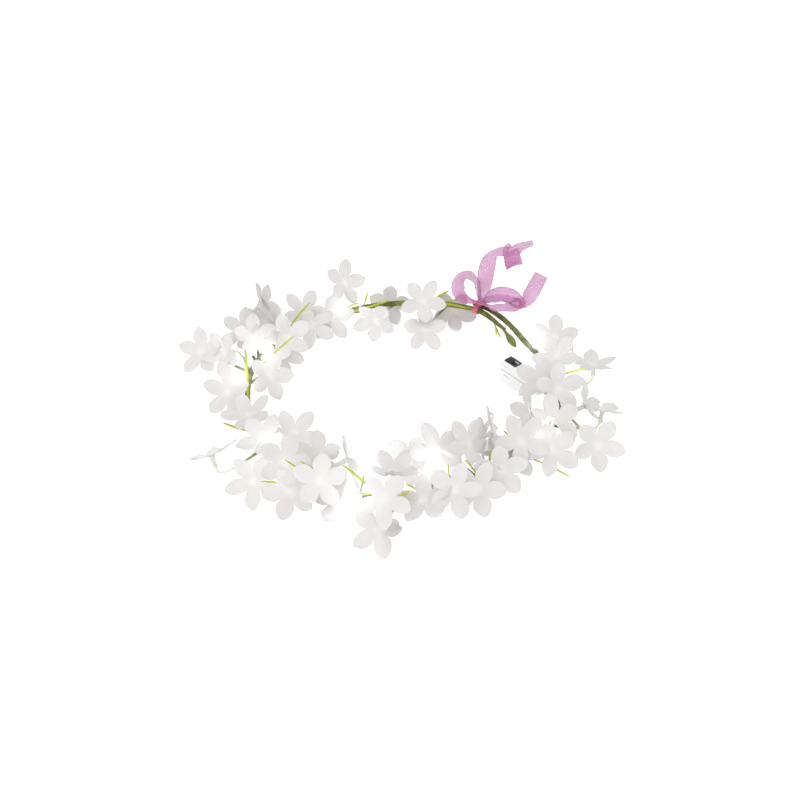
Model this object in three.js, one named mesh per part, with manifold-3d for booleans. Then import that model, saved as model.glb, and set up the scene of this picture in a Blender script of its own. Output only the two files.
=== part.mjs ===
// Light-up flower headband: pale cloth flowers on an open ring of wrapped wire, with a string of
// small bulbs among them, a battery box inside the ring and a ribbon bow tied at the back right.
// Millimetres, +Z up. It lies on its lowest petals at z = 0, with the middle of its outline over
// the origin and its front towards -Y. The pieces are first placed round the ring's own centre,
// where a clock angle runs from +X towards +Y, so that the back is at 90 degrees.
import * as THREE from "three";
import { mergeVertices } from "three/addons/utils/BufferGeometryUtils.js";
import Module from "manifold-3d";

const wasm = await Module();
wasm.setup();

// Ring of wrapped stem wire, whose ends lie side by side
const RING_RADIUS = 87.5;
const STEM_HEIGHT = 16;
const STEM_RADIUS = 1.6;
const STEM_WAVE = 0.8;
const STEM_STEPS = 56;

// Bent line of the stem, from the inner end at the back right round to the outer end
const STEM_ROWS = [
  { clock: 44, radius: 83.2 },
  { clock: 62, radius: 90.5 },
  { clock: 90, radius: 88 },
  { clock: 128, radius: 87 },
  { clock: 165, radius: 90 },
  { clock: 190, radius: 88 },
  { clock: 265, radius: 89 },
  { clock: 300, radius: 84.5 },
  { clock: 345, radius: 84.5 },
  { clock: 388, radius: 83 },
  { clock: 424, radius: 95.5 },
];

// Flowers: five petals on a small core, with a tube behind it and a stalk to the stem
const PETALS = 5;
const PETAL_STEP = 360 / PETALS;
const PETAL_LENGTH = 13.8;
const PETAL_HALF_WIDTH = 4.6;
const PETAL_THICKNESS = 1;
const PETAL_CURL = 14;
const CORE_RADIUS = 2.1;
const THROAT_DEPTH = 1.8;
const TUBE_LENGTH = 6;
const TUBE_RADIUS = 1.1;
const STALK_RADIUS = 0.8;
const STALK_BEND = 8;
const STALK_STEPS = 3;
const LOWEST_BEND = 3;
const GAP = 0.3;

// Outline of a petal from its root to its tip, as parts of its length and of its half width
const PETAL_ROWS = [
  { along: 0.4, half: 0.86 },
  { along: 0.78, half: 0.94 },
  { along: 1.0, half: 0.42 },
];

// Turns of a petal from its flower's cup angle that are tried in order until it lies clear
const GIVE_WAY = [0, 8, -8, 16, -16, 24, -24, 32, -32, 40, -40, 48, -48, 56, -56, 64, -64];
const STEEPEST = 62;
const FOLDED_LIFT = -58;
const PETAL_CLEAR = 0.3;

// Light string: the lead under the stem and the bulbs
const WIRE_RADIUS = 0.5;
const WIRE_DROP = 2.6;
const WIRE_FIRST_CLOCK = 10;
const WIRE_LAST_CLOCK = -255;
const WIRE_STEPS = 40;
const BULB_RADIUS = 1.9;
const BULB_LENGTH = 6;
const LEAD_RADIUS = 0.6;

// Battery box, measured from its outer corner beside the stem
const BOX_CLOCK = 12;
const BOX_TURN = -50;
const BOX_LENGTH = 22.5;
const BOX_WIDTH = 14.5;
const BOX_FLOOR = 3.4;
const BOX_CORNER = 1.2;
const CASE_HEIGHT = 8.6;
const LID_HEIGHT = 3.6;
const SWITCH_SLOT = { length: 7.6, width: 4.2, depth: 1.8, x: -18, y: -8 };
const KNOB = { length: 3.4, width: 3.4, height: 2.4 };

// Ribbon bow: the knot, the band round the stem ends and the loops and tails
const BOW_CLOCK = 61;
const BOW_HEIGHT = 22;
const BOW_OFFSET = { x: 0.6, y: -2.4 };
const BOW_LEAN = 38;
const RIBBON_WIDTH = 10;
const RIBBON_THICKNESS = 1;
const KNOT_RADIUS = 3.5;
const GATHER = 0.5;
const BAND = { width: 6, thickness: 1.2, halfWide: 5.2, halfTall: 2.4 };

// One row for each flower: where its throat sits (clock, reach out of the ring and rise over the
// floor), where it faces (bearing and tilt), its spin, how far its petals cup, how far along the
// stem its stalk starts, and which petal, if any, is folded in.
// The boldest come first, because later ones give way to them.
const FLOWER_COLUMNS = ["clock", "reach", "rise", "bearing", "tilt", "spin", "cup", "lag", "folded"];
const FLOWER_ROWS = [
  [166, 35, 20, 250, 40, 30, 6, -8],
  [292, 7, 22, 275, 36, 66, 6, 8],
  [224, 20, 15, 262, 38, 60, 6, 7],
  [236, 16, 18, 270, 30, 38, 8, 6],
  [264, 13, 27, 270, 35, 54, 10, -6],
  [263, 21, 14, 270, 30, 68, 8, 7, 4],
  [113, 12, 28, 315, 38, 58, 8, 7],
  [82, -11, 25, 268, 40, 60, 8, 6],
  [80, -20, 10, 270, 35, 18, 8, -7],
  [337, 23, 12, 270, 35, 59, 8, 14],
  [322, 8, 22, 285, 45, 28, 10, 7],
  [23, 7, 25, 300, 70, 59, 10, 6],
  [9, 21, 20, 90, 80, 56, 6, -7],
  [352, 22, 13, 66, 62, 36, 4, -14],
  [348, -4, 30, 285, 38, 12, 12, -7],
  [156, 17, 26, 230, 48, 30, 12, 6],
  [143, 19, 30, 355, 30, 18, 8, 12],
  [131, 7, 20, 280, 50, 60, 12, -12],
  [136, -9, 22, 290, 5, 34, 10, 7],
  [126, -11, 22, 275, 40, 15, 10, -6],
  [104, -11, 12, 250, 10, 61, 10, -10],
  [96, 8, 10, 255, 15, 18, 10, -11],
  [72, 9, 7, 280, 25, 52, 10, 14],
  [331, 1, 29, 290, 70, 10, 10, -7],
  [356, -13, 25, 240, 50, 25, 12, 7],
  [336, -15, 22, 200, 30, 56, 10, 7],
  [309, -1, 26, 300, 60, 54, 12, -6],
  [308, -16, 32, 20, 20, 26, 10, -12],
  [309, -28, 18, 110, 30, 18, 10, -7],
  [296, -15, 32, 300, 55, 40, 12, 6],
  [283, -18, 30, 240, 40, 62, 10, 14],
  [275, 10, 24, 270, 85, 18, 8, 6],
  [266, -2, 30, 270, 80, 52, 20, -6],
  [251, 12, 20, 225, 80, 0, 8, -6],
  [248, -9, 28, 20, 20, 18, 10, 6],
  [236, -8, 25, 270, 35, 18, 10, -6],
  [218, -13, 22, 290, 70, 32, 10, -14],
  [218, 5, 28, 255, 60, 0, 10, -6],
  [207, 27, 12, 120, 45, 18, 6, 7],
  [204, 3, 27, 210, 80, 31, 10, -7],
  [185, 11, 20, 245, 40, 30, 8, 6],
  [172, -9, 17, 300, 30, 57, 10, 6],
  [157, -9, 19, 330, 25, 20, 10, 7],
];

// Twin flowers: each is stitched to the flower numbered first in its row, where their petals cross
const TWIN_COLUMNS = ["host", ...FLOWER_COLUMNS];
const TWIN_ROWS = [
  [16, 159, 7, 27, 310, 45, 0, 12, 5],
  [1, 167, 19, 24, 230, 25, 0, 12, 5],
  [4, 232, 10, 30, 270, 45, 0, 12, 5],
  [34, 245, 12, 30, 290, 45, 0, 12, 5],
  [32, 284, 9, 27, 270, 45, 0, 12, 5],
  [27, 301, 4, 26, 270, 30, 24, 12, 5],
  [14, 347, 12, 22, 0, 35, 24, 12, 5],
  [27, 313, -2, 32, 270, 45, 48, 12, 5],
  [43, 154, -11, 27, 290, 45, 24, 12, 5],
  [31, 272, -22, 22, 250, 30, 0, 12, 18],
  [12, 13, 1, 24, 240, 60, 0, 12, 5],
  [17, 144, 18, 20, 250, 30, 24, 12, -14],
];

// One row for each bulb: clock, reach and rise of its middle
const BULB_COLUMNS = ["clock", "reach", "rise"];
const BULB_ROWS = [
  [24, -5, 24],
  [359, 5, 24],
  [324, -3, 26],
  [279, -7, 24],
  [255, -9, 24],
  [256, 12, 25],
  [232, 9, 21],
  [222, 4, 24],
  [179, 5, 23],
  [165, -5, 23],
  [120, -9, 24],
];

// One row for each slim green blade: the clock of its root on the stem, then its tip
const BLADE_COLUMNS = ["root", "clock", "reach", "rise"];
const BLADE_ROWS = [
  [208, 201, 16, 22],
  [178, 167, 12, 26],
  [112, 105, 3, 26],
  [118, 109, -5, 23],
  [80, 73, 5, 24],
  [52, 44, -8, 12],
  [320, 316, -16, 26],
  [318, 324, 21, 7],
  [262, 270, 12, 30],
  [244, 255, 5, 28],
  [292, 286, -7, 26],
  [282, 275, -1, 25],
  [332, 342, -2, 26],
  [3, 8, 10, 23],
];
const BLADE_HALF_WIDTH = 1.3;
const BLADE_THICKNESS = 1;

// Bud at the inner end of the stem
const BUD = { root: 46, clock: 31, reach: -12, rise: 17, radius: 2.2 };

// Loops and tails of the bow, from the knot outwards, in the leaning plane of the bow: right, up
// and front of the ribbon's middle, then the same three of the line across its width
const STRAND_RUN = 3;
const STRAND_COLUMNS = ["right", "up", "front", "acrossRight", "acrossUp", "acrossFront"];
const STRANDS = {
  leftLoop: [
    [0, 1, -1, 0.2, 0, 1],
    [-1.2, 7, -3, 0.22, 0.05, 0.95],
    [-2.6, 12.6, -2, 0.25, 0.15, 0.95],
    [-7, 16, 0, 0, 0.45, 0.88],
    [-11.4, 13.8, 2.5, -0.6, 0.35, 0.7],
    [-13.4, 9, 4, -0.85, 0, 0.5],
    [-11.8, 4.6, 3, -0.6, -0.45, 0.65],
    [-6, 1.4, 1, -0.2, -0.45, 0.87],
    [0, 0, 0, -0.1, -0.3, 0.95],
  ],
  rightLoop: [
    [1, 0.5, -1, 0.2, -0.45, 0.85],
    [7, 3.6, -2.5, 0.35, -0.75, 0.55],
    [13, 5.6, -3, 0, -0.95, 0.3],
    [19.5, 4.2, -1.5, -0.35, -0.85, 0.4],
    [24, 0, 1.5, -0.5, -0.4, 0.75],
    [20.5, -3, 3.5, -0.2, -0.65, 0.7],
    [14.5, -3.6, 4, 0, -0.55, 0.85],
    [8, -3.6, 3, 0.1, -0.5, 0.85],
    [1, -0.5, 1, 0.15, -0.2, 0.95],
  ],
  upperTail: [
    [0.3, 1, 0, 0.5, -0.15, 0.85],
    [2.6, 11.6, 0, 0.85, -0.1, 0.5],
    [3.9, 19.8, -0.5, 1, 0.05, 0.1],
    [5.6, 26.5, -1.5, 0.75, -0.35, 0.55],
    [8, 30.2, -2, 0.45, -0.35, 0.8],
    [12.8, 31.9, -1.6, 0.1, -0.6, 0.8],
    [16.8, 31.6, 0.2, 0.6, -0.42, 0.68],
    [18.4, 30.6, 2, 0.95, -0.1, 0.3],
    [19.6, 27.2, 2.8, 0.97, 0.15, 0.2],
    [20.8, 23.8, 2, 0.93, 0.28, 0.2],
    [21, 22.4, -0.4, 0.93, 0.3, 0.2],
    [20.2, 25, -2.6, 0.95, 0.2, 0.15],
    [20.2, 29.6, -3.2, 0.8, -0.3, 0.5],
    [23, 33.4, -2.2, 0.35, -0.55, 0.75],
    [27.6, 35.6, -1, 0.1, -0.48, 0.87],
    [32.4, 37, 0, 0.1, -0.4, 0.9],
  ],
  lowerTail: [
    [1, 0.5, -2, 0.1, -0.4, 0.9],
    [8, 3, -5.5, 0.2, -0.45, 0.85],
    [15, 3.6, -6, 0, -0.55, 0.8],
    [21.5, 1.2, -4.5, -0.2, -0.6, 0.75],
    [26.5, 0.6, -1.5, 0.2, -0.65, 0.7],
    [30.2, 4, 0.3, 0.65, -0.5, 0.5],
    [33.4, 9.5, 1, 0.75, -0.4, 0.5],
    [37.3, 17, 2, 0.72, -0.42, 0.55],
  ],
};

// Materials
const look = (color, roughness) => new THREE.MeshStandardMaterial({ color, roughness, metalness: 0 });
const petalCloth = look(0xf1ecf0, 0.85);
const greenTape = look(0x55602a, 0.8);
const clearLead = look(0x9aa38c, 0.5);
const glowingBulb = look(0xfdfdff, 0.15);
const whitePlastic = look(0xf0f0ec, 0.45);
const blackPlastic = look(0x1c1c1e, 0.5);
const pinkOrganza = look(0xd79ac6, 0.6);

// Small helpers
const rad = (degrees) => (degrees * Math.PI) / 180;
const named = (columns, row) => Object.fromEntries(columns.map((name, i) => [name, row[i]]));
const flowers = FLOWER_ROWS.map((row) => named(FLOWER_COLUMNS, row));
const twins = TWIN_ROWS.map((row) => named(TWIN_COLUMNS, row));
const bulbs = BULB_ROWS.map((row) => named(BULB_COLUMNS, row));
const blades = BLADE_ROWS.map((row) => named(BLADE_COLUMNS, row));

function polar(clock, radius, height) {
  return new THREE.Vector3(radius * Math.cos(rad(clock)), radius * Math.sin(rad(clock)), height);
}

function heading(bearing, tilt) {
  return polar(bearing, Math.cos(rad(tilt)), Math.sin(rad(tilt)));
}

function polygon(sides, radius) {
  const corner = (i) => polar((360 * i) / sides, radius, 0);
  return new THREE.Shape(Array.from({ length: sides }, (_, i) => corner(i)).map((p) => new THREE.Vector2(p.x, p.y)));
}

function tube(path, sides, radius, steps) {
  return new THREE.ExtrudeGeometry(polygon(sides, radius), { extrudePath: path, steps, bevelEnabled: false });
}

function toSolid(geometry, matrix = new THREE.Matrix4()) {
  const bare = new THREE.BufferGeometry();
  bare.setAttribute("position", geometry.getAttribute("position").clone());
  bare.setIndex(geometry.getIndex());
  const welded = mergeVertices(bare.applyMatrix4(matrix), 1e-4);
  const vertProperties = new Float32Array(welded.getAttribute("position").array);
  const triVerts = new Uint32Array(welded.getIndex().array);
  return new wasm.Manifold(new wasm.Mesh({ numProp: 3, vertProperties, triVerts }));
}

function toGeometry(solid) {
  const mesh = solid.getMesh();
  const geometry = new THREE.BufferGeometry();
  geometry.setAttribute("position", new THREE.BufferAttribute(mesh.vertProperties, 3));
  geometry.setIndex(new THREE.BufferAttribute(mesh.triVerts, 1));
  geometry.computeVertexNormals();
  return geometry;
}

function indexed(points, triangles) {
  const geometry = new THREE.BufferGeometry();
  geometry.setFromPoints(points);
  geometry.setIndex(triangles);
  geometry.computeVertexNormals();
  return geometry;
}

const joined = (solids) => solids.reduce((whole, solid) => whole.add(solid));

// Stem line: the ring opens as it turns, so that its ends pass each other
const STEM_FIRST_CLOCK = STEM_ROWS[0].clock;
const STEM_TURN = STEM_ROWS[STEM_ROWS.length - 1].clock - STEM_FIRST_CLOCK;

function stemPoint(turn) {
  const clock = STEM_FIRST_CLOCK + turn;
  const next = STEM_ROWS.find((row) => row.clock >= clock - 1e-6) ?? STEM_ROWS[STEM_ROWS.length - 1];
  const last = STEM_ROWS[Math.max(STEM_ROWS.indexOf(next) - 1, 0)];
  const part = THREE.MathUtils.smoothstep(clock, last.clock, next.clock);
  const radius = THREE.MathUtils.lerp(last.radius, next.radius, part);
  return polar(clock, radius, STEM_HEIGHT + STEM_WAVE * Math.sin(rad(2 * clock + 40)));
}

function stemAt(clock) {
  return stemPoint((((clock - STEM_FIRST_CLOCK) % 360) + 360) % 360);
}

class StemLine extends THREE.Curve {
  getPoint(t, target = new THREE.Vector3()) {
    return target.copy(stemPoint(t * STEM_TURN));
  }
}

class WireLine extends THREE.Curve {
  getPoint(t, target = new THREE.Vector3()) {
    const clock = THREE.MathUtils.lerp(WIRE_FIRST_CLOCK, WIRE_LAST_CLOCK, t);
    target.copy(stemAt(clock));
    target.z -= WIRE_DROP;
    return target;
  }
}

// Flowers: placing, petals and the whole corolla
function flowerMatrix(flower) {
  const facing = heading(flower.bearing, flower.tilt);
  const right = heading(flower.bearing + 90, 0);
  const up = facing.clone().cross(right);
  const place = new THREE.Matrix4().makeBasis(right, up, facing);
  place.setPosition(polar(flower.clock, RING_RADIUS + flower.reach, flower.rise));
  return place.multiply(new THREE.Matrix4().makeRotationZ(rad(flower.spin)));
}

// Rows of a petal lying along +X: the four corners of each cross-section
function petalRows(lift, extra) {
  const halfThick = PETAL_THICKNESS / 2 + extra;
  const apothem = CORE_RADIUS * Math.cos(rad(PETAL_STEP / 2));
  const rows = [{ x: apothem, z: 0, angle: 0, half: CORE_RADIUS * Math.sin(rad(PETAL_STEP / 2)) }];
  for (const { along, half } of PETAL_ROWS) {
    const last = rows[rows.length - 1];
    const stretch = (along - (last.along ?? 0)) * PETAL_LENGTH;
    const slope = rad(lift + PETAL_CURL * (along + (last.along ?? 0)) / 2);
    rows.push({
      along,
      x: last.x + stretch * Math.cos(slope),
      z: last.z + stretch * Math.sin(slope),
      angle: rad(lift + PETAL_CURL * along),
      half: half * PETAL_HALF_WIDTH + extra,
    });
  }
  return rows.map(({ x, z, angle, half }) => {
    const dx = halfThick * Math.sin(angle);
    const dz = halfThick * Math.cos(angle);
    return [[x - dx, -half, z + dz], [x - dx, half, z + dz], [x + dx, -half, z - dz], [x + dx, half, z - dz]];
  });
}

// Faces that wrap a run of cross-sections, each given as four corner numbers
function wrapRows(rows, triangles) {
  const quad = (a, b, c, d) => triangles.push(a, b, c, a, c, d);
  rows.slice(1).forEach((next, i) => {
    const row = rows[i];
    quad(row[0], next[0], next[1], row[1]);
    quad(row[2], row[3], next[3], next[2]);
    quad(row[0], row[2], next[2], next[0]);
    quad(row[1], next[1], next[3], row[3]);
  });
  const tip = rows[rows.length - 1];
  quad(tip[0], tip[2], tip[3], tip[1]);
}

function turned(point, degrees) {
  const [x, y, z] = point;
  const c = Math.cos(rad(degrees));
  const s = Math.sin(rad(degrees));
  return new THREE.Vector3(c * x - s * y, s * x + c * y, z);
}

function petalSolid(lift, petal, matrix) {
  const rows = petalRows(lift, PETAL_CLEAR);
  const points = rows.flat().map((corner) => turned(corner, petal * PETAL_STEP));
  const triangles = [0, 1, 3, 0, 3, 2];
  wrapRows(rows.map((_, i) => [4 * i, 4 * i + 1, 4 * i + 2, 4 * i + 3]), triangles);
  return toSolid(indexed(points, triangles), matrix);
}

// Whole flower: throat, core corners, tube end and petals share their corners
function flowerGeometry(lifts) {
  const ring = (radius, z) => lifts.map((_, i) => polar((i - 0.5) * PETAL_STEP, radius, z));
  const points = [
    ...ring(CORE_RADIUS, PETAL_THICKNESS / 2),
    ...ring(CORE_RADIUS, -PETAL_THICKNESS / 2),
    ...ring(TUBE_RADIUS, -TUBE_LENGTH),
    new THREE.Vector3(0, 0, PETAL_THICKNESS / 2 - THROAT_DEPTH),
  ];
  const throat = points.length - 1;
  const triangles = [];
  lifts.forEach((lift, i) => {
    const j = (i + 1) % PETALS;
    triangles.push(throat, i, j);
    triangles.push(PETALS + i, 2 * PETALS + i, 2 * PETALS + j, PETALS + i, 2 * PETALS + j, PETALS + j);
    if (i > 1) triangles.push(2 * PETALS, 2 * PETALS + i, 2 * PETALS + i - 1);
    const numbers = [[i, j, PETALS + i, PETALS + j]];
    for (const row of petalRows(lift, 0).slice(1)) {
      numbers.push(row.map((_, k) => points.length + k));
      points.push(...row.map((corner) => turned(corner, i * PETAL_STEP)));
    }
    wrapRows(numbers, triangles);
  });
  return indexed(points, triangles);
}

function coreSolid(flower) {
  const height = TUBE_LENGTH + PETAL_THICKNESS / 2;
  const core = new THREE.CylinderGeometry(CORE_RADIUS + GAP, TUBE_RADIUS + GAP, height, PETALS);
  core.rotateX(Math.PI / 2).translate(0, 0, PETAL_THICKNESS / 2 - height / 2);
  return toSolid(core, flowerMatrix(flower));
}

// Stalk: rises from the stem, or hangs from it to a low flower, and meets the end of the flower's tube
function stalkGeometry(flower) {
  const facing = heading(flower.bearing, flower.tilt);
  const throat = polar(flower.clock, RING_RADIUS + flower.reach, flower.rise);
  const end = throat.clone().addScaledVector(facing, -(TUBE_LENGTH + GAP));
  const neck = end.clone().addScaledVector(facing, -STALK_BEND / 2);
  const bend = end.clone().addScaledVector(facing, -STALK_BEND);
  bend.z = Math.max(bend.z, end.z < STEM_HEIGHT ? LOWEST_BEND : STEM_HEIGHT + 1);
  const path = new THREE.CubicBezierCurve3(stemAt(flower.clock + flower.lag), bend, neck, end);
  return tube(path, 5, STALK_RADIUS, STALK_STEPS);
}

// Slim pointed blades, and the bud
function bladeGeometry(blade) {
  const root = stemAt(blade.root);
  const tip = polar(blade.clock, RING_RADIUS + blade.reach, blade.rise);
  const along = tip.clone().sub(root);
  const length = along.length();
  const outline = new THREE.Shape([
    new THREE.Vector2(0, -0.6 * BLADE_HALF_WIDTH),
    new THREE.Vector2(0.55 * length, -BLADE_HALF_WIDTH),
    new THREE.Vector2(length, -0.2),
    new THREE.Vector2(length, 0.2),
    new THREE.Vector2(0.55 * length, BLADE_HALF_WIDTH),
    new THREE.Vector2(0, 0.6 * BLADE_HALF_WIDTH),
  ]);
  const leaf = new THREE.ExtrudeGeometry(outline, { depth: BLADE_THICKNESS, bevelEnabled: false });
  leaf.translate(0, 0, -BLADE_THICKNESS / 2);
  const ahead = along.normalize();
  const side = new THREE.Vector3(0, 0, 1).cross(ahead).normalize();
  const place = new THREE.Matrix4().makeBasis(ahead, side, ahead.clone().cross(side)).setPosition(root);
  return leaf.applyMatrix4(place);
}

function budGeometry() {
  const root = stemAt(BUD.root);
  const tip = polar(BUD.clock, RING_RADIUS + BUD.reach, BUD.rise);
  const length = tip.distanceTo(root);
  const profile = [[0, 0], [0.4, 0], [0.4, 0.35], [1, 0.65], [0.3, 1], [0, 1]];
  const bud = new THREE.LatheGeometry(profile.map(([r, y]) => new THREE.Vector2(r * BUD.radius, y * length)), 6);
  const stand = new THREE.Quaternion().setFromUnitVectors(new THREE.Vector3(0, 1, 0), tip.sub(root).normalize());
  return bud.applyQuaternion(stand).translate(...root.toArray());
}

// Bulb on a short lead that is bound to the stem
function bulbSolid(bulb) {
  const middle = polar(bulb.clock, RING_RADIUS + bulb.reach, bulb.rise);
  const root = stemAt(bulb.clock);
  const axis = middle.clone().sub(root).normalize();
  const half = BULB_LENGTH / 2;
  const profile = [[0, -half], [1, -half], [1, 0.15 * half], [0.66, 0.75 * half], [0, half]];
  const dome = new THREE.LatheGeometry(profile.map(([r, y]) => new THREE.Vector2(r * BULB_RADIUS, y)), 6);
  const stand = new THREE.Quaternion().setFromUnitVectors(new THREE.Vector3(0, 1, 0), axis);
  const place = new THREE.Matrix4().compose(middle, stand, new THREE.Vector3(1, 1, 1));
  const start = root.addScaledVector(axis, STEM_RADIUS + GAP + 0.15);
  const lead = tube(new THREE.LineCurve3(start, middle), 5, LEAD_RADIUS, 1);
  return toSolid(dome, place).add(toSolid(lead));
}

// Battery box
function roundedPlate(length, width, height) {
  const shape = new THREE.Shape();
  const r = BOX_CORNER;
  shape.moveTo(-length + r, -width);
  shape.lineTo(-r, -width);
  shape.absarc(-r, -width + r, r, -Math.PI / 2, 0);
  shape.absarc(-r, -r, r, 0, Math.PI / 2);
  shape.absarc(-length + r, -r, r, Math.PI / 2, Math.PI);
  shape.absarc(-length + r, -width + r, r, Math.PI, 1.5 * Math.PI);
  return new THREE.ExtrudeGeometry(shape, { depth: height, bevelEnabled: false, curveSegments: 2 });
}

function blockSolid(length, width, height, x, y, z) {
  return toSolid(new THREE.BoxGeometry(length, width, height).translate(x, y, z));
}

// Ribbon strand: a flat strip along a smooth line, swept in short runs
function strandSolid(rows) {
  const stations = rows.map((row) => named(STRAND_COLUMNS, row));
  const line = new THREE.CatmullRomCurve3(stations.map((s) => new THREE.Vector3(s.right, s.up, s.front)));
  const sections = stations.map((station, i) => {
    const middle = line.getPoint(i / (stations.length - 1));
    const ahead = line.getTangent(i / (stations.length - 1));
    const across = new THREE.Vector3(station.acrossRight, station.acrossUp, station.acrossFront);
    across.addScaledVector(ahead, -across.dot(ahead)).normalize();
    const thick = ahead.clone().cross(across).multiplyScalar(RIBBON_THICKNESS / 2);
    const gathered = middle.length() < KNOT_RADIUS ? GATHER : 1;
    const wide = across.multiplyScalar((gathered * RIBBON_WIDTH) / 2);
    const corner = (a, b) => middle.clone().addScaledVector(wide, a).addScaledVector(thick, b);
    return [corner(-1, 1), corner(1, 1), corner(-1, -1), corner(1, -1)];
  });
  const runs = [];
  for (let first = 0; first < sections.length - 1; first += STRAND_RUN) {
    const run = sections.slice(first, first + STRAND_RUN + 1);
    const triangles = [0, 1, 3, 0, 3, 2];
    wrapRows(run.map((_, i) => [4 * i, 4 * i + 1, 4 * i + 2, 4 * i + 3]), triangles);
    runs.push(toSolid(indexed(run.flat(), triangles)));
  }
  return joined(runs);
}

function bowSolid() {
  const lean = rad(BOW_LEAN);
  const right = new THREE.Vector3(1, 0, 0);
  const up = new THREE.Vector3(0, Math.sin(lean), Math.cos(lean));
  const front = new THREE.Vector3(0, -Math.cos(lean), Math.sin(lean));
  const place = new THREE.Matrix4().makeBasis(right, up, front);
  const turn = BOW_CLOCK - STEM_FIRST_CLOCK;
  const stems = stemPoint(turn).add(stemPoint(turn + 360)).multiplyScalar(0.5);
  place.setPosition(stems.x + BOW_OFFSET.x, stems.y + BOW_OFFSET.y, BOW_HEIGHT);
  const knot = toSolid(new THREE.SphereGeometry(KNOT_RADIUS, 8, 6));
  const bow = joined([knot, ...Object.values(STRANDS).map(strandSolid)]).transform(place.toArray());
  const oval = new THREE.Shape();
  oval.absellipse(0, 0, BAND.halfWide + BAND.thickness, BAND.halfTall + BAND.thickness, 0, 2 * Math.PI);
  const hole = new THREE.Path();
  hole.absellipse(0, 0, BAND.halfWide, BAND.halfTall, 0, 2 * Math.PI);
  oval.holes.push(hole);
  const ring = new THREE.ExtrudeGeometry(oval, { depth: BAND.width, bevelEnabled: false, curveSegments: 14 });
  ring.translate(0, 0, -BAND.width / 2);
  const along = stemPoint(turn - 3).sub(stemPoint(turn + 3)).setZ(0).normalize();
  const upright = new THREE.Vector3(0, 0, 1);
  const seat = new THREE.Matrix4().makeBasis(upright.clone().cross(along), upright, along);
  seat.setPosition(stems);
  return bow.add(toSolid(ring, seat));
}

// Assembly
const headband = new THREE.Group();
headband.name = "flower_headband";

function addMesh(name, geometry, material, parent = headband) {
  const mesh = new THREE.Mesh(geometry, material);
  mesh.name = name;
  parent.add(mesh);
  return mesh;
}

const number = (i) => String(i + 1).padStart(2, "0");

const ringTube = toSolid(tube(new StemLine(), 6, STEM_RADIUS, STEM_STEPS));
const blooms = [...flowers, ...twins];
const sprigGeometries = [...blooms.map(stalkGeometry), ...blades.map(bladeGeometry), budGeometry()];
const sprigs = sprigGeometries.map((sprig) => toSolid(sprig));
addMesh("stem", toGeometry(joined([ringTube, ...sprigs])), greenTape);

const wireGeometry = tube(new WireLine(), 5, WIRE_RADIUS, WIRE_STEPS);
addMesh("light_wire", wireGeometry, clearLead);

const bulbSolids = bulbs.map(bulbSolid);
bulbSolids.forEach((solid, i) => addMesh(`light_bulb_${number(i)}`, toGeometry(solid), glowingBulb));

const box = new THREE.Group();
const boxCorner = stemAt(BOX_CLOCK);
const boxReach = Math.hypot(boxCorner.x, boxCorner.y) - STEM_RADIUS - GAP;
box.position.copy(polar(BOX_CLOCK, boxReach, BOX_FLOOR));
box.rotation.z = rad(BOX_TURN);
headband.add(box);
addMesh("battery_case", roundedPlate(BOX_LENGTH, BOX_WIDTH, CASE_HEIGHT), whitePlastic, box);
const { x: slotX, y: slotY } = SWITCH_SLOT;
const slotCut = blockSolid(SWITCH_SLOT.length, SWITCH_SLOT.width, 2 * SWITCH_SLOT.depth, slotX, slotY, LID_HEIGHT);
const lidSolid = toSolid(roundedPlate(BOX_LENGTH, BOX_WIDTH, LID_HEIGHT)).subtract(slotCut);
const lid = addMesh("battery_lid", toGeometry(lidSolid), whitePlastic, box);
lid.position.z = CASE_HEIGHT + GAP;
const knob = addMesh("switch_knob", new THREE.BoxGeometry(KNOB.length, KNOB.width, KNOB.height), blackPlastic, box);
const knobStart = slotX - (SWITCH_SLOT.length - KNOB.length) / 2 + GAP;
const knobMiddle = LID_HEIGHT - SWITCH_SLOT.depth + GAP + KNOB.height / 2;
knob.position.set(knobStart, slotY, lid.position.z + knobMiddle);

const bow = bowSolid();
addMesh("ribbon_bow", toGeometry(bow), pinkOrganza);

// Petals take their places one after another, each clear of everything placed before it
headband.updateMatrixWorld(true);
const boxSolids = box.children.map((mesh) => toSolid(mesh.geometry, mesh.matrixWorld));
const placed = [];
function place(solid, owner) {
  const { min, max } = solid.boundingBox();
  placed.push({ solid, owner, reach: new THREE.Box3(new THREE.Vector3(...min), new THREE.Vector3(...max)) });
}
[ringTube, ...sprigs, toSolid(wireGeometry), ...bulbSolids, ...boxSolids, bow].forEach((solid) => place(solid, -1));
const ownerOf = (bloom) => (bloom.host ? bloom.host - 1 : flowers.indexOf(bloom));
blooms.forEach((bloom) => place(coreSolid(bloom), ownerOf(bloom)));

function isClear(solid, owner) {
  const { min, max } = solid.boundingBox();
  if (min[2] < -PETAL_CLEAR) return false;
  const reach = new THREE.Box3(new THREE.Vector3(...min), new THREE.Vector3(...max));
  const near = placed.filter((other) => other.owner !== owner && other.reach.intersectsBox(reach));
  return near.every((other) => Math.abs(solid.intersect(other.solid).volume()) < 1e-4);
}

const crowded = [];
for (const bloom of blooms) {
  const owner = ownerOf(bloom);
  const matrix = flowerMatrix(bloom);
  bloom.lifts = [];
  for (let petal = 0; petal < PETALS; petal++) {
    const wished = petal === bloom.folded ? FOLDED_LIFT : bloom.cup;
    const tries = GIVE_WAY.map((turn) => wished + turn).filter((lift) => Math.abs(lift) <= STEEPEST);
    const lift = tries.find((angle) => isClear(petalSolid(angle, petal, matrix), owner));
    if (lift === undefined) crowded.push(`bloom ${blooms.indexOf(bloom) + 1} petal ${petal}`);
    bloom.lifts.push(lift ?? bloom.cup);
    place(petalSolid(bloom.lifts[petal], petal, matrix), owner);
  }
}
if (crowded.length > 0) throw new Error(`no room for ${crowded.join(", ")}`);

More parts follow.
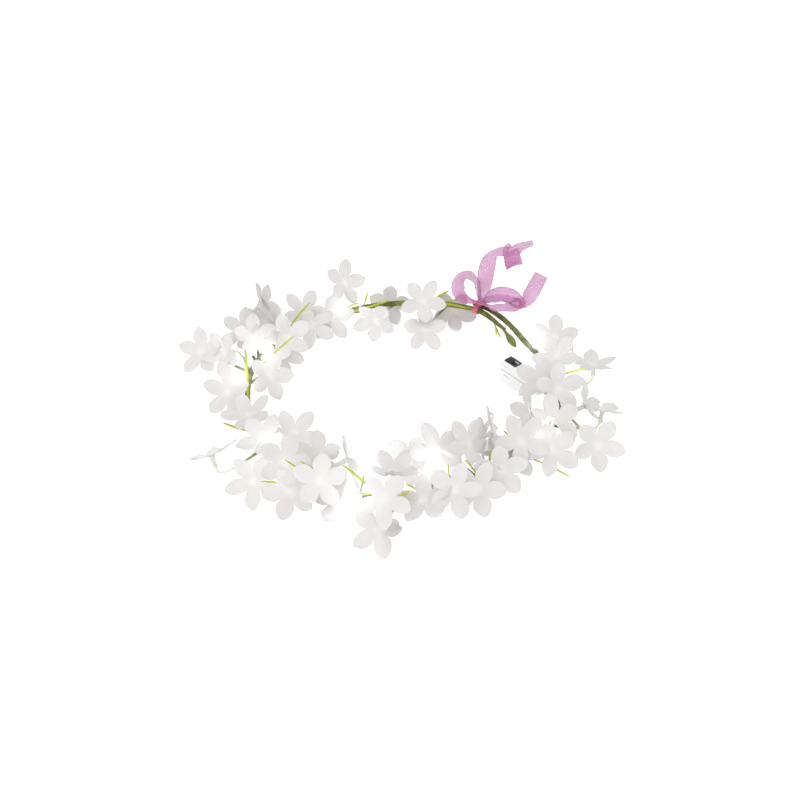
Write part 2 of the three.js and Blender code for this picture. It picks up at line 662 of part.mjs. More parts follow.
flowers.forEach((flower, i) => {
  const group = blooms.filter((bloom) => ownerOf(bloom) === i);
  const solid = joined(group.map((bloom) => toSolid(flowerGeometry(bloom.lifts), flowerMatrix(bloom))));
  if (solid.decompose().length > 1) throw new Error(`the twin of flower_${number(i)} stands apart`);
  addMesh(`flower_${number(i)}`, toGeometry(solid), petalCloth);
});

// Middle of the outline over the origin, lowest petal on the floor
headband.updateMatrixWorld(true);
const outline = new THREE.Box3().setFromObject(headband, true);
const middle = outline.getCenter(new THREE.Vector3());
headband.position.set(-middle.x, -middle.y, -outline.min.z);

export default headband;
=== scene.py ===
"""Light-up flower headband: cloth flowers, taped stem, light string, battery box and organza bow."""

import itertools
from math import atan2, cos, degrees, exp, hypot, pi, radians, sin, sqrt, tan

import bmesh
import bpy
import numpy as np
from mathutils import Matrix, Vector


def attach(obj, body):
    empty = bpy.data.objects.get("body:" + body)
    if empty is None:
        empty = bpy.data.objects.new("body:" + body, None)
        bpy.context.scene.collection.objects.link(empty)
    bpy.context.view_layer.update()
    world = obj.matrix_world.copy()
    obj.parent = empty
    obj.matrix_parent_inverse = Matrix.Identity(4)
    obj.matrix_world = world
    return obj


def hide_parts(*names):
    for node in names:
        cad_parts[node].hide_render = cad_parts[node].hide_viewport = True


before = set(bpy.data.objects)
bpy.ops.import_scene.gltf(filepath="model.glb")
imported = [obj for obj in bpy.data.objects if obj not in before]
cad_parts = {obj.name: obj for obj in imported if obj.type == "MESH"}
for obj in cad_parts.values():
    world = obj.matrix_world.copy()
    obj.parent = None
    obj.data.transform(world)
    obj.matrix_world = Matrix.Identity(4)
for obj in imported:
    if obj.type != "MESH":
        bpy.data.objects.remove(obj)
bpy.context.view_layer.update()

MM = 0.001
UP = Vector((0, 0, 1))
BODY = "headband"
SWITCH = "switch"

# Ring: its centre in the frame, its radius and the height of the stem over that centre, in mm
RING_CENTRE = Vector((5.258, 6.008, -0.142))
RING_RADIUS = 87.5
STEM_HEIGHT = 16
STEM_RADIUS = 1.6
STEM_WAVE = 0.8

# Stem: its length, the tape's pitch and the step between its turns, then clock and radius
STEM_LENGTH = 583
STEM_STEPS = 900
STEM_SIDES = 14
TAPE_PITCH = 6.5
TAPE_LAP = 0.16
STEM_ROWS = [
    (44, 83.2), (62, 90.5), (90, 88), (128, 87), (165, 90), (190, 88),
    (265, 89), (300, 84.5), (345, 84.5), (388, 83), (424, 95.5),
]

# How far along the stem each flower's stalk starts, in degrees from the flower
LAGS = [-8, 8, 7, 6, -6, 7, 7, 6, -7, 14, 7, 6, -7, -14, -7, 6, 12, -12, 7, -6, -10, -11]
LAGS += [14, -7, 7, 7, -6, -12, -7, 6, 14, 6, -6, -6, 6, -6, -14, -6, 7, -7, 6, 6, 7]

# Further flowers in a node: the node's number, the flower's clock and its lag
TWINS = [
    (16, 159, 5), (1, 167, 5), (4, 232, 5), (34, 245, 5), (32, 284, 5), (27, 301, 5),
    (14, 347, 5), (27, 313, 5), (43, 154, 5), (31, 272, 18), (12, 13, 5), (17, 144, -14),
]

# Bulbs: clock, reach and rise of the middle, then the profile's radius and height
BULB_ROWS = [
    (24, -5, 24), (359, 5, 24), (324, -3, 26), (279, -7, 24), (255, -9, 24), (256, 12, 25),
    (232, 9, 21), (222, 4, 24), (179, 5, 23), (165, -5, 23), (120, -9, 24),
]
BULB_PROFILE = [
    (0.9, -3.0), (1.75, -3.0), (1.9, -2.8), (1.9, -2.35), (1.68, -2.2), (1.68, 0.6),
    (1.6, 1.3), (1.35, 2.0), (0.95, 2.55), (0.45, 2.9), (0.08, 3.0),
]
BULB_SIDES = 18
BULB_FOOT = 2.9

# Lamp beside each bulb: watts, radius, and how far it stands ahead of the bulb and above it
LAMP_POWER = 0.0009
LAMP_RADIUS = 4
LAMP_AHEAD = 3
LAMP_ABOVE = 5

# Light string: clock of its start at the battery box, how far it runs and its depth under the stem
LEAD_CLOCK = 10
LEAD_SWEEP = 265
LEAD_DROP = 2.6
LEAD_STEPS = 620
LEAD_RADIUS = 0.27
LEAD_SIDES = 6
LEAD_TURN = 0.42
LEAD_SPREAD = 0.3
BULB_LEAD_STEPS = 24
BULB_LEAD_TURN = 7
BULB_LEAD_SPREAD = 0.32

# Green leaves: clock of the root, then clock, reach and rise of the tip, and half the width
LEAF_ROWS = [
    (206, 202, 17, 24, 1.0), (193, 166, 7, 28, 0.9), (120, 97, -3, 20, 1.0), (120, 110, -4, 22, 0.7),
    (108, 105, 4, 24, 0.6), (80, 73, 5, 24, 1.3), (77, 66, 6, 23, 0.8), (78, 64, -2, 19, 0.8),
    (52, 44, -8, 12, 0.6), (51, 47, -7, 11, 0.5), (321, 311, -12, 34, 1.0), (318, 323, 19, 8, 0.6),
    (261, 271, 12, 31, 1.0), (262, 248, -2, 31, 0.9), (286, 284, -2, 34, 0.8), (276, 270, 3, 28, 0.7),
    (8, 3, 13, 27, 0.8), (296, 290, -3, 34, 1.0), (301, 299, -2, 36, 0.8), (249, 239, 12, 38, 0.7),
    (245, 235, 15, 38, 0.7), (174, 160, -20, 36, 0.8), (240, 230, 24, 25, 0.8), (147, 133, -4, 34, 0.8),
    (252, 260, 9, 26, 0.7),
]
LEAF_STEPS = 16
LEAF_SIDES = 10
LEAF_THICKNESS = 0.42
LEAF_BOW = 0.9
LEAF_FOLD = 0.3

# Bud at the stem's inner end: clock of the root, clock, reach and rise of the tip, and its profile
BUD_ROOT = 46
BUD_TIP = (31, -12, 17)
BUD_SIDES = 14
BUD_PROFILE = [
    (0.85, 0.0), (0.85, 0.3), (1.3, 0.42), (2.1, 0.58), (2.2, 0.68), (1.7, 0.84), (0.8, 0.96), (0.2, 1.0),
]

# The one flower whose stamen shows
STAMEN_FLOWER = "flower_16"
STAMEN_PROFILE = [(0.35, -0.3), (0.35, 1.2), (0.6, 1.8), (0.75, 2.6), (0.7, 3.6), (0.45, 4.3), (0.12, 4.6)]
STAMEN_SIDES = 12

# Flower, as in the solids, in mm
PETALS = 5
PETAL_LENGTH = 13.8
PETAL_HALF_WIDTH = 4.6
PETAL_CURL = radians(14)
CORE_RADIUS = 2.1
APOTHEM = CORE_RADIUS * cos(pi / PETALS)
THROAT_DEPTH = 1.8
TUBE_LENGTH = 6
SOLID_HALF_THICKNESS = 0.5
SOLID_SHARES = (0.4, 0.78, 1.0)
SOLID_TIP = 0.42
LIFT_LIMIT = 64
READ_TOLERANCE = 0.02

# Cloth of the petals: rows along a petal, of which the first are grown together, and columns across it
FUSED_LENGTH = 4.8
FUSED_ROWS = 6
PETAL_ROWS = 17
PETAL_COLUMNS = 13
PETAL_POINTS = PETAL_ROWS * PETAL_COLUMNS
PETAL_REACH = 1.09
PETAL_HALF_THICKNESS = 0.15
PETAL_THINNING = 0.07
PETAL_TIP_HALF = 0.2
PETAL_WIDEST = 0.36
PETAL_CREASE = 50
RIB_DEPTH = 0.18
TIP_DROOP = 0.4
THROAT_DIP = 0.2
# Painted glow: how far from a bulb the petals still give off light of their own, in mm
PAINTED_GLOW_REACH = 7.5

# Tube under the petals and green cup round its end: radius and height
TUBE_SIDES = 16
TUBE_PROFILE = [
    (0.1, -0.45), (0.8, -0.42), (1.3, -0.38), (1.9, -0.3), (1.8, -0.52),
    (1.45, -1.0), (1.3, -2.2), (1.15, -4.0), (1.05, -TUBE_LENGTH),
]
CUP_SIDES = 10
CUP_PROFILE = [(0.3, -7.8), (0.7, -7.4), (1.1, -6.7), (1.3, -6.0), (1.45, -5.2), (1.35, -5.15), (1.2, -5.7)]

# Stalks: steps and sides, thinnest radius and thicker root, and how far the bends reach from the tube
STALK_STEPS = 22
STALK_SIDES = 9
STALK_RADIUS = 0.55
STALK_ROOT = 0.35
STALK_BEND = 8
STALK_NECK = 4

# Bow: its place over the stem ends, its knot and band, in mm
BOW_CLOCK = 61
BOW_HEIGHT = 22
BOW_OFFSET = (0.6, -2.4)
BOW_LEAN = radians(38)
RIBBON_WIDTH = 10
KNOT_LENGTH = 4.4
KNOT_RADIUS = 2.1
KNOT_STEPS = 30
KNOT_SIDES = 40
BAND_WIDTH = 3.4
BAND_HALF = (5.2, 2.4)
BAND_STEPS = 12
BAND_SIDES = 48
RIBBON_COLUMNS = 17
RIBBON_STEPS = 14
RIBBON_THICKNESS = 0.12
RIBBON_GATHER = 0.58

# Strands: right, up and front of the ribbon's middle, then the same three of the line across it
STRANDS = {
    "left_loop": [
        (0, 1, -1, 0.2, 0, 1), (-1.2, 7, -3, 0.22, 0.05, 0.95),
        (-2.6, 12.6, -2, 0.25, 0.15, 0.95), (-7, 16, 0, 0, 0.45, 0.88),
        (-11.4, 13.8, 2.5, -0.6, 0.35, 0.7), (-13.4, 9, 4, -0.85, 0, 0.5),
        (-11.8, 4.6, 3, -0.6, -0.45, 0.65), (-6, 1.4, 1, -0.2, -0.45, 0.87),
        (0, 0, 0, -0.1, -0.3, 0.95),
    ],
    "right_loop": [
        (1, 0.5, -1, 0.2, -0.45, 0.85), (7, 3.6, -2.5, 0.35, -0.75, 0.55),
        (13, 5.6, -3, 0, -0.95, 0.3), (19.5, 4.2, -1.5, -0.35, -0.85, 0.4),
        (24, 0, 1.5, -0.5, -0.4, 0.75), (20.5, -3, 3.5, -0.2, -0.65, 0.7),
        (14.5, -3.6, 4, 0, -0.55, 0.85), (8, -3.6, 3, 0.1, -0.5, 0.85),
        (1, -0.5, 1, 0.15, -0.2, 0.95),
    ],
    "upper_tail": [
        (0.3, 1, 0, 0.5, -0.15, 0.85), (2.6, 11.6, 0, 0.85, -0.1, 0.5),
        (3.9, 19.8, -0.5, 1, 0.05, 0.1), (5.6, 26.5, -1.5, 0.75, -0.35, 0.55),
        (8, 30.2, -2, 0.45, -0.35, 0.8), (12.8, 31.9, -1.6, 0.1, -0.6, 0.8),
        (16.8, 31.6, 0.2, 0.6, -0.42, 0.68), (18.4, 30.6, 2, 0.95, -0.1, 0.3),
        (19.6, 27.2, 2.8, 0.97, 0.15, 0.2), (20.8, 23.8, 2, 0.93, 0.28, 0.2),
        (21, 22.4, -0.4, 0.93, 0.3, 0.2), (20.2, 25, -2.6, 0.95, 0.2, 0.15),
        (20.2, 29.6, -3.2, 0.8, -0.3, 0.5), (23, 33.4, -2.2, 0.35, -0.55, 0.75),
        (27.6, 35.6, -1, 0.1, -0.48, 0.87), (32.4, 37, 0, 0.1, -0.4, 0.9),
    ],
    "lower_tail": [
        (1, 0.5, -2, 0.1, -0.4, 0.9), (8, 3, -5.5, 0.2, -0.45, 0.85),
        (15, 3.6, -6, 0, -0.55, 0.8), (21.5, 1.2, -4.5, -0.2, -0.6, 0.75),
        (26.5, 0.6, -1.5, 0.2, -0.65, 0.7), (30.2, 4, 0.3, 0.65, -0.5, 0.5),
        (33.4, 9.5, 1, 0.75, -0.4, 0.5), (37.3, 17, 2, 0.72, -0.42, 0.55),
    ],
}

# Battery box, measured from its outer corner beside the stem
BOX_CLOCK = 12
BOX_TURN = radians(-50)
BOX_LENGTH = 22.5
BOX_WIDTH = 14.5
BOX_FLOOR = 3.4
BOX_GAP = 0.3
CASE_HEIGHT = 8.6
LID_HEIGHT = 3.6
SEAM = 0.3
CORNER_STEPS = 5
RIM_STEPS = 3
BOX_CREASE = 40

# Switch: length, width, depth and middle of its slot, then length, width and height of its knob
SLOT = (7.6, 4.2, 1.8, -18, -8)
KNOB = (3.4, 3.4, 2.4)

# Stage: half the floor's side in metres, then name, place, size and power of each soft light
FLOOR_HALF = 4
SKY_STRENGTH = 0.78
LIGHT_TARGET = Vector((0, 0, 0.02))
LIGHTS = [
    ("key", (-0.5, -0.6, 1.1), 0.9, 2.2),
    ("fill", (0.8, -0.2, 0.9), 0.8, 1.0),
    ("top", (0.0, 0.3, 1.4), 1.2, 2.6),
    ("front", (0.0, -1.0, 0.8), 0.9, 4.0),
]
BLOOM = {"Threshold": 3.0, "Smoothness": 0.1, "Strength": 0.6, "Size": 0.5}


# Places on the ring
def polar(clock, radius, height):
    a = radians(clock)
    return Vector((radius * cos(a), radius * sin(a), height))


def smoothstep(x, low, high):
    t = min(max((x - low) / (high - low), 0), 1)
    return t * t * (3 - 2 * t)


def shares(count):
    """From 0 to 1 in equal steps."""
    return [i / count for i in range(count + 1)]


def turns(count):
    """Angles all the way round."""
    return [2 * pi * k / count for k in range(count)]


def stem_point(clock):
    clock = min(max(clock, STEM_ROWS[0][0]), STEM_ROWS[-1][0])
    for (c0, r0), (c1, r1) in zip(STEM_ROWS, STEM_ROWS[1:]):
        if clock <= c1:
            radius = r0 + (r1 - r0) * smoothstep(clock, c0, c1)
            break
    wave = STEM_WAVE * sin(radians(2 * clock + 40))
    return RING_CENTRE + polar(clock, radius, STEM_HEIGHT + wave)


def stem_at(clock):
    first = STEM_ROWS[0][0]
    return stem_point(first + (clock - first) % 360)


def near_ring(clock, reach, rise):
    return RING_CENTRE + polar(clock, RING_RADIUS + reach, rise)


# Mesh helpers: points are in mm, objects in metres
def add(obj):
    bpy.context.scene.collection.objects.link(obj)


def make_object(name, points, faces, material, smooth=True, body=BODY):
    """A new piece that rides on a body."""
    mesh = bpy.data.meshes.new(name)
    mesh.from_pydata([Vector(p) * MM for p in points], [], faces)
    mesh.validate()
    mesh.polygons.foreach_set("use_smooth", [smooth] * len(mesh.polygons))
    mesh.materials.append(material)
    obj = bpy.data.objects.new(name, mesh)
    add(obj)
    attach(obj, body)
    return obj


def tube_rings(line, sides, radius):
    """Rings of points round a line; radius takes the share along it, the angle and the distance."""
    line = [Vector(p) for p in line]
    count = len(line)
    side = None
    rings = []
    travelled = 0
    for i, point in enumerate(line):
        ahead = (line[min(i + 1, count - 1)] - line[max(i - 1, 0)]).normalized()
        if side is None:
            side = ahead.orthogonal().normalized()
        side = (side - ahead * side.dot(ahead)).normalized()
        over = ahead.cross(side)
        if i:
            travelled += (point - line[i - 1]).length
        ring = []
        for a in turns(sides):
            r = radius(i / (count - 1), a, travelled)
            ring.append(point + (side * cos(a) + over * sin(a)) * r)
        rings.append(ring)
    return rings


def loft(rings, points, faces, capped=True):
    """Adds a run of rings as quads, with a flat cap at each end."""
    sides = len(rings[0])
    first = len(points)
    for ring in rings:
        points.extend(ring)
    for i in range(len(rings) - 1):
        for k in range(sides):
            a = first + i * sides + k
            b = first + i * sides + (k + 1) % sides
            faces.append((a, b, b + sides, a + sides))
    if capped:
        faces.append(tuple(first + k for k in reversed(range(sides))))
        last = first + (len(rings) - 1) * sides
        faces.append(tuple(last + k for k in range(sides)))


def lathe_rings(profile, place, sides):
    """Rings of a profile of (radius, height) round the +Z axis of a placing matrix."""
    rings = []
    for r, z in profile:
        rings.append([place @ Vector((r * cos(a), r * sin(a), z)) for a in turns(sides)])
    return rings


def axis_matrix(origin, axis):
    """A placing whose +Z runs along axis."""
    z = Vector(axis).normalized()
    hint = UP
    if abs(z.dot(hint)) > 0.95:
        hint = Vector((1, 0, 0))
    x = hint.cross(z).normalized()
    y = z.cross(x)
    return Matrix.Translation(origin) @ Matrix((x, y, z)).transposed().to_4x4()


def bezier(p0, p1, p2, p3, count):
    """Points along a smooth bend."""
    out = []
    for t in shares(count):
        s = 1 - t
        out.append(p0 * s**3 + p1 * 3 * s * s * t + p2 * 3 * s * t * t + p3 * t**3)
    return out


def set_uv(obj, uv):
    """One UV for each vertex, in mm."""
    layer = obj.data.uv_layers.new(name="cloth")
    for loop in obj.data.loops:
        layer.data[loop.index].uv = uv[loop.vertex_index]


def set_value(obj, name, values):
    """One number for each vertex."""
    layer = obj.data.attributes.new(name, "FLOAT", "POINT")
    layer.data.foreach_set("value", np.array(values, np.float32))


def weld(obj, distance):
    """Joins points within a distance in metres."""
    bm = bmesh.new()
    bm.from_mesh(obj.data)
    bmesh.ops.remove_doubles(bm, verts=bm.verts, dist=distance)
    bm.to_mesh(obj.data)
    bm.free()


def crease(obj, angle):
    """Smooth shading that stops at sharp edges."""
    bm = bmesh.new()
    bm.from_mesh(obj.data)
    for face in bm.faces:
        face.smooth = True
    for edge in bm.edges:
        edge.smooth = edge.calc_face_angle(pi) < radians(angle)
    bm.to_mesh(obj.data)
    bm.free()


# Materials
class Look:
    """Colours, roughness and fine relief of one surface."""

    def __init__(self, name, **sockets):
        self.material = bpy.data.materials.new(name)
        self.material.use_nodes = True
        self.tree = self.material.node_tree
        self.shader = self.tree.nodes["Principled BSDF"]
        for key, value in sockets.items():
            self.shader.inputs[key.replace("_", " ")].default_value = value

    def node(self, kind, **settings):
        made = self.tree.nodes.new("ShaderNode" + kind)
        for key, value in settings.items():
            setattr(made, key, value)
        return made

    def link(self, source, target):
        self.tree.links.new(source, target)

    def to(self, source, socket):
        self.link(source, self.shader.inputs[socket])

    def coords(self, output="Object"):
        return self.node("TexCoord").outputs[output]

    def stretch(self, coords, scale):
        made = self.node("Mapping")
        made.inputs["Scale"].default_value = scale
        self.link(coords, made.inputs["Vector"])
        return made.outputs["Vector"]

    def noise(self, coords, scale, detail):
        made = self.node("TexNoise")
        made.inputs["Scale"].default_value = scale
        made.inputs["Detail"].default_value = detail
        made.inputs["Roughness"].default_value = 0.55
        self.link(coords, made.inputs["Vector"])
        return made.outputs["Fac"]

    def ramp(self, source, stops):
        made = self.node("ValToRGB")
        elements = made.color_ramp.elements
        while len(elements) < len(stops):
            elements.new(0.5)
        for element, (position, colour) in zip(elements, stops):
            element.position = position
            element.color = (*colour, 1)
        self.link(source, made.inputs["Fac"])
        return made.outputs["Color"]

    def mix(self, factor, a, b):
        """Colour that goes from the linked colour a to the fixed colour b."""
        made = self.node("Mix", data_type="RGBA")
        colours = [s for s in made.inputs if s.type == "RGBA"]
        self.link(factor, made.inputs[0])
        self.link(a, colours[0])
        colours[1].default_value = (*b, 1)
        return next(s for s in made.outputs if s.type == "RGBA")

    def math(self, operation, a, b=0.0):
        made = self.node("Math", operation=operation)
        for source, socket in ((a, made.inputs[0]), (b, made.inputs[1])):
            if isinstance(source, (int, float)):
                socket.default_value = source
            else:
                self.link(source, socket)
        return made.outputs[0]

    def value(self, name):
        return self.node("Attribute", attribute_name=name).outputs["Fac"]

    def weave(self, coords, pitch):
        """Crossing threads, as a height from 0 to 1; pitch in the units of the coordinates."""
        split = self.node("SeparateXYZ")
        self.link(coords, split.inputs[0])
        heights = []
        for axis in ("X", "Y"):
            wave = self.math("SINE", self.math("MULTIPLY", split.outputs[axis], 2 * pi / pitch))
            heights.append(self.math("ABSOLUTE", wave))
        return self.math("MULTIPLY", self.math("ADD", heights[0], heights[1]), 0.5)

    def bump(self, height, strength, distance):
        made = self.node("Bump")
        made.inputs["Strength"].default_value = strength
        made.inputs["Distance"].default_value = distance
        self.link(height, made.inputs["Height"])
        self.to(made.outputs["Normal"], "Normal")


def petal_look():
    look = Look("petal_cloth", Roughness=0.8, Sheen_Weight=0.12, Sheen_Roughness=0.5)
    # Painted glow: petals near a bulb give off light of their own in this colour, standing in for bulb
    # light shining through the cloth
    look.shader.inputs["Emission Color"].default_value = (1.0, 0.99, 0.97, 1)
    cloth = look.coords("UV")
    stains = look.noise(look.coords(), 90, 2)
    base = look.ramp(stains, [(0.3, (0.64, 0.625, 0.618)), (0.7, (0.70, 0.685, 0.678))])
    base = look.mix(look.math("MULTIPLY", look.value("tint"), 0.6), base, (0.66, 0.625, 0.625))
    # Throat: a faint yellow-green tint of the cloth, and painted light that lifts the shade falling in the
    # throat
    base = look.mix(look.value("throat"), base, (0.76, 0.76, 0.71))
    look.to(base, "Base Color")
    look.to(look.math("MULTIPLY", look.value("lit"), 0.34), "Emission Strength")
    veins = look.noise(look.stretch(cloth, (0.12, 2.2, 1)), 1.0, 2)
    threads = look.weave(cloth, 0.36)
    height = look.math("ADD", look.math("MULTIPLY", veins, 0.7), look.math("MULTIPLY", threads, 0.3))
    look.bump(height, 0.35, 0.0003)
    return look.material


def tape_look():
    look = Look("stem_tape", Roughness=0.7)
    place = look.coords()
    blotch = look.noise(place, 140, 4)
    greens = [(0.3, (0.045, 0.052, 0.006)), (0.5, (0.12, 0.14, 0.013)), (0.72, (0.30, 0.34, 0.065))]
    base = look.ramp(blotch, greens)
    base = look.mix(look.value("wrap"), base, (0.030, 0.034, 0.006))
    base = look.mix(look.value("green"), base, (0.68, 0.70, 0.60))
    look.to(base, "Base Color")
    crepe = look.noise(place, 1500, 3)
    look.to(look.ramp(crepe, [(0.2, (0.58, 0.58, 0.58)), (0.8, (0.85, 0.85, 0.85))]), "Roughness")
    look.bump(crepe, 0.5, 0.00025)
    return look.material


def blade_look():
    look = Look("green_blade", Roughness=0.5, Subsurface_Weight=0.15, Subsurface_Scale=0.002)
    place = look.coords()
    streaks = look.noise(look.stretch(look.coords("UV"), (0.25, 6, 1)), 1.5, 3)
    greens = [(0.25, (0.29, 0.38, 0.012)), (0.6, (0.48, 0.57, 0.025)), (0.85, (0.60, 0.66, 0.07))]
    base = look.ramp(streaks, greens)
    base = look.mix(look.value("root"), base, (0.075, 0.11, 0.016))
    look.to(base, "Base Color")
    look.bump(look.noise(place, 900, 2), 0.3, 0.0002)
    return look.material


def wire_look():
    look = Look("light_lead", Roughness=0.3, Transmission_Weight=0.25)
    tone = look.noise(look.coords(), 300, 2)
    look.to(look.ramp(tone, [(0.3, (0.30, 0.33, 0.24)), (0.7, (0.46, 0.48, 0.38))]), "Base Color")
    return look.material


def bulb_look():
    look = Look("lit_bulb", Roughness=0.12, Base_Color=(0.9, 0.92, 0.95, 1))
    look.shader.inputs["Emission Color"].default_value = (0.93, 0.96, 1.0, 1)
    steps = [(0.0, (0.02, 0.02, 0.02)), (0.5, (0.5, 0.5, 0.5)), (1.0, (1, 1, 1))]
    glow = look.ramp(look.value("glow"), steps)
    look.to(look.math("MULTIPLY", glow, 30.0), "Emission Strength")
    return look.material


def plastic_look(name, low, high, rough, grain):
    look = Look(name)
    place = look.coords()
    look.to(look.ramp(look.noise(place, 120, 3), [(0.3, low), (0.7, high)]), "Base Color")
    fine = look.noise(place, grain, 2)
    look.to(look.ramp(fine, [(0.2, (rough - 0.08,) * 3), (0.8, (rough + 0.08,) * 3)]), "Roughness")
    look.bump(fine, 0.12, 0.0001)
    return look.material


def organza_look():
    look = Look("organza", Roughness=0.38, Sheen_Weight=0.4, Sheen_Roughness=0.35, Specular_IOR_Level=0.6)
    cloth = look.coords("UV")
    threads = look.weave(cloth, 0.5)
    tone = look.noise(look.coords(), 110, 3)
    base = look.ramp(tone, [(0.3, (0.52, 0.13, 0.36)), (0.7, (0.62, 0.27, 0.56))])
    base = look.mix(look.value("edge"), base, (0.40, 0.05, 0.22))
    base = look.mix(look.value("blush"), base, (0.80, 0.16, 0.10))
    glints = look.node("TexVoronoi", feature="F1")
    glints.inputs["Scale"].default_value = 1.1
    look.link(cloth, glints.inputs["Vector"])
    spot = look.math("LESS_THAN", glints.outputs["Distance"], 0.22)
    split = look.node("SeparateColor")
    look.link(glints.outputs["Color"], split.inputs[0])
    spark = look.math("MULTIPLY", spot, look.math("GREATER_THAN", split.outputs[0], 0.88))
    base = look.mix(spark, base, (1.0, 0.94, 1.0))
    look.to(base, "Base Color")
    cover = look.math("ADD", look.math("MULTIPLY", threads, 0.28), 0.36)
    cover = look.math("MAXIMUM", cover, look.math("MULTIPLY", look.value("edge"), 0.9))
    cover = look.math("MAXIMUM", cover, look.math("MULTIPLY", look.value("blush"), 1.4))
    look.to(look.math("MAXIMUM", cover, spark), "Alpha")
    look.bump(threads, 0.3, 0.0001)
    return look.material


def floor_look():
    look = Look("floor", Roughness=0.9, Emission_Strength=0.3, Emission_Color=(1, 1, 1, 1))
    tone = look.noise(look.coords(), 6, 3)
    look.to(look.ramp(tone, [(0.3, (0.93, 0.93, 0.93)), (0.7, (0.95, 0.95, 0.95))]), "Base Color")
    return look.material


PETAL = petal_look()
TAPE = tape_look()
BLADE = blade_look()
WIRE = wire_look()
BULB = bulb_look()
WHITE = plastic_look("white_plastic", (0.74, 0.745, 0.75), (0.80, 0.80, 0.80), 0.42, 2500)
BLACK = plastic_look("black_plastic", (0.010, 0.010, 0.011), (0.024, 0.024, 0.026), 0.45, 2500)
ORGANZA = organza_look()
ANTHER = plastic_look("anther", (0.75, 0.36, 0.02), (0.85, 0.52, 0.04), 0.6, 1500)


# Camera at the photograph's angle
ELEVATION = radians(38)
CAMERA_DISTANCE = 0.6
SENSOR = 36
FOCAL_PIXELS = 1069.8
IMAGE = 800
TARGET_PIXEL = (406, 389)

optics = bpy.data.cameras.new("camera")
optics.sensor_width = SENSOR
optics.lens = SENSOR * FOCAL_PIXELS / IMAGE
optics.shift_x = (IMAGE / 2 - TARGET_PIXEL[0]) / IMAGE
optics.shift_y = (TARGET_PIXEL[1] - IMAGE / 2) / IMAGE
optics.clip_start = 0.01
optics.clip_end = 20
camera = bpy.data.objects.new("camera", optics)
add(camera)
target = (RING_CENTRE + Vector((0, 0, STEM_HEIGHT))) * MM
back = Vector((0, -cos(ELEVATION), sin(ELEVATION)))
camera.location = target + back * CAMERA_DISTANCE
camera.rotation_euler = (-back).to_track_quat("-Z", "Y").to_euler()
bpy.context.scene.camera = camera


# Flowers: each solid gives its own throats, facings and petal lifts
def tip_corners(lift):
    """Corners of a solid petal's tip as (along, side, up), in mm."""
    x, z, last = APOTHEM, 0.0, 0.0
    for share in SOLID_SHARES:
        slope = lift + PETAL_CURL * (share + last) / 2
        x += (share - last) * PETAL_LENGTH * cos(slope)
        z += (share - last) * PETAL_LENGTH * sin(slope)
        last = share
    half = SOLID_TIP * PETAL_HALF_WIDTH
    dx = SOLID_HALF_THICKNESS * sin(lift + PETAL_CURL)
    dz = SOLID_HALF_THICKNESS * cos(lift + PETAL_CURL)
    return [(a, b, c) for a, c in ((x - dx, z + dz), (x + dx, z - dz)) for b in (half, -half)]


def read_solid(node):
    """Points of a node's mesh in mm, each once."""
    places = {}
    for vertex in node.data.vertices:
        places[tuple(round(c, 5) for c in vertex.co)] = vertex.co / MM
    return list(places.values())


def throat_corners(throat, ring):
    """Direction in which a throat opens and one corner of its core, from three corners left of it."""
    spans = [2 * CORE_RADIUS * sin(pi * k / PETALS) for k in (1, 2)]
    for corners in itertools.combinations(ring, 3):
        sides = [(p - q).length for p, q in itertools.combinations(corners, 2)]
        if any(min(abs(side - span) for span in spans) > READ_TOLERANCE for side in sides):
            continue
        a, b, c = corners
        axis = (b - a).cross(c - a).normalized()
        depth = axis.dot(a - throat)
        if abs(abs(depth) - THROAT_DEPTH) < READ_TOLERANCE:
            return (axis if depth > 0 else -axis), a
    return None


def petal_lift(cloud, centre, along, side, facing):
    """Lift at which the corners of a petal's tip lie nearest to points of the solid."""
    best = None
    for angle in range(-LIFT_LIMIT, LIFT_LIMIT + 1):
        lift = radians(angle)
        tips = [centre + along * x + side * y + facing * z for x, y, z in tip_corners(lift)]
        spans = cloud[:, None] - np.array([tuple(tip) for tip in tips])[None]
        gaps = np.sort(np.linalg.norm(spans, axis=2).min(axis=0))
        if best is None or gaps[1] < best[0]:
            best = (gaps[1], lift)
    return best[1]


def flower_places(node):
    """Middle, facing and petals (direction, side and lift) of each flower in a solid, in mm."""
    points = read_solid(node)
    cloud = np.array([tuple(p) for p in points])
    reach = hypot(CORE_RADIUS, THROAT_DEPTH)
    found = []
    for throat in points:
        ring = [p for p in points if abs((p - throat).length - reach) < READ_TOLERANCE]
        corners = throat_corners(throat, ring)
        if not corners:
            continue
        facing, corner = corners
        middle = throat + facing * THROAT_DEPTH
        centre = middle - facing * SOLID_HALF_THICKNESS
        first = (corner - middle).normalized()
        second = facing.cross(first)
        petals = []
        for i in range(PETALS):
            turn = 2 * pi * (i + 0.5) / PETALS
            along = first * cos(turn) + second * sin(turn)
            side = facing.cross(along)
            petals.append((along, side, petal_lift(cloud, centre, along, side, facing)))
        found.append((centre, facing, petals))
    return found


def painted_bulb_glow(points):
    """Painted glow: share of a bulb's light that each point of the cloth gives off as its own emission,
    standing in for light shining through the thin cloth.
    """
    cloud = np.array([tuple(p) for p in points])
    bulbs = np.array([tuple(near_ring(*row)) for row in BULB_ROWS])
    gaps = np.linalg.norm(cloud[:, None] - bulbs[None], axis=2).min(axis=1)
    return np.exp(-((gaps / PAINTED_GLOW_REACH) ** 2))


def lobe_half_width(t, root, half, point):
    """Half width of a petal's free lobe; point is 0.5 for a round end, more for a pointed one."""
    if t < PETAL_WIDEST:
        return root + (half - root) * sin(pi / 2 * t / PETAL_WIDEST)
    return half * max(1 - ((t - PETAL_WIDEST) / (1 - PETAL_WIDEST)) ** 2, 0) ** point


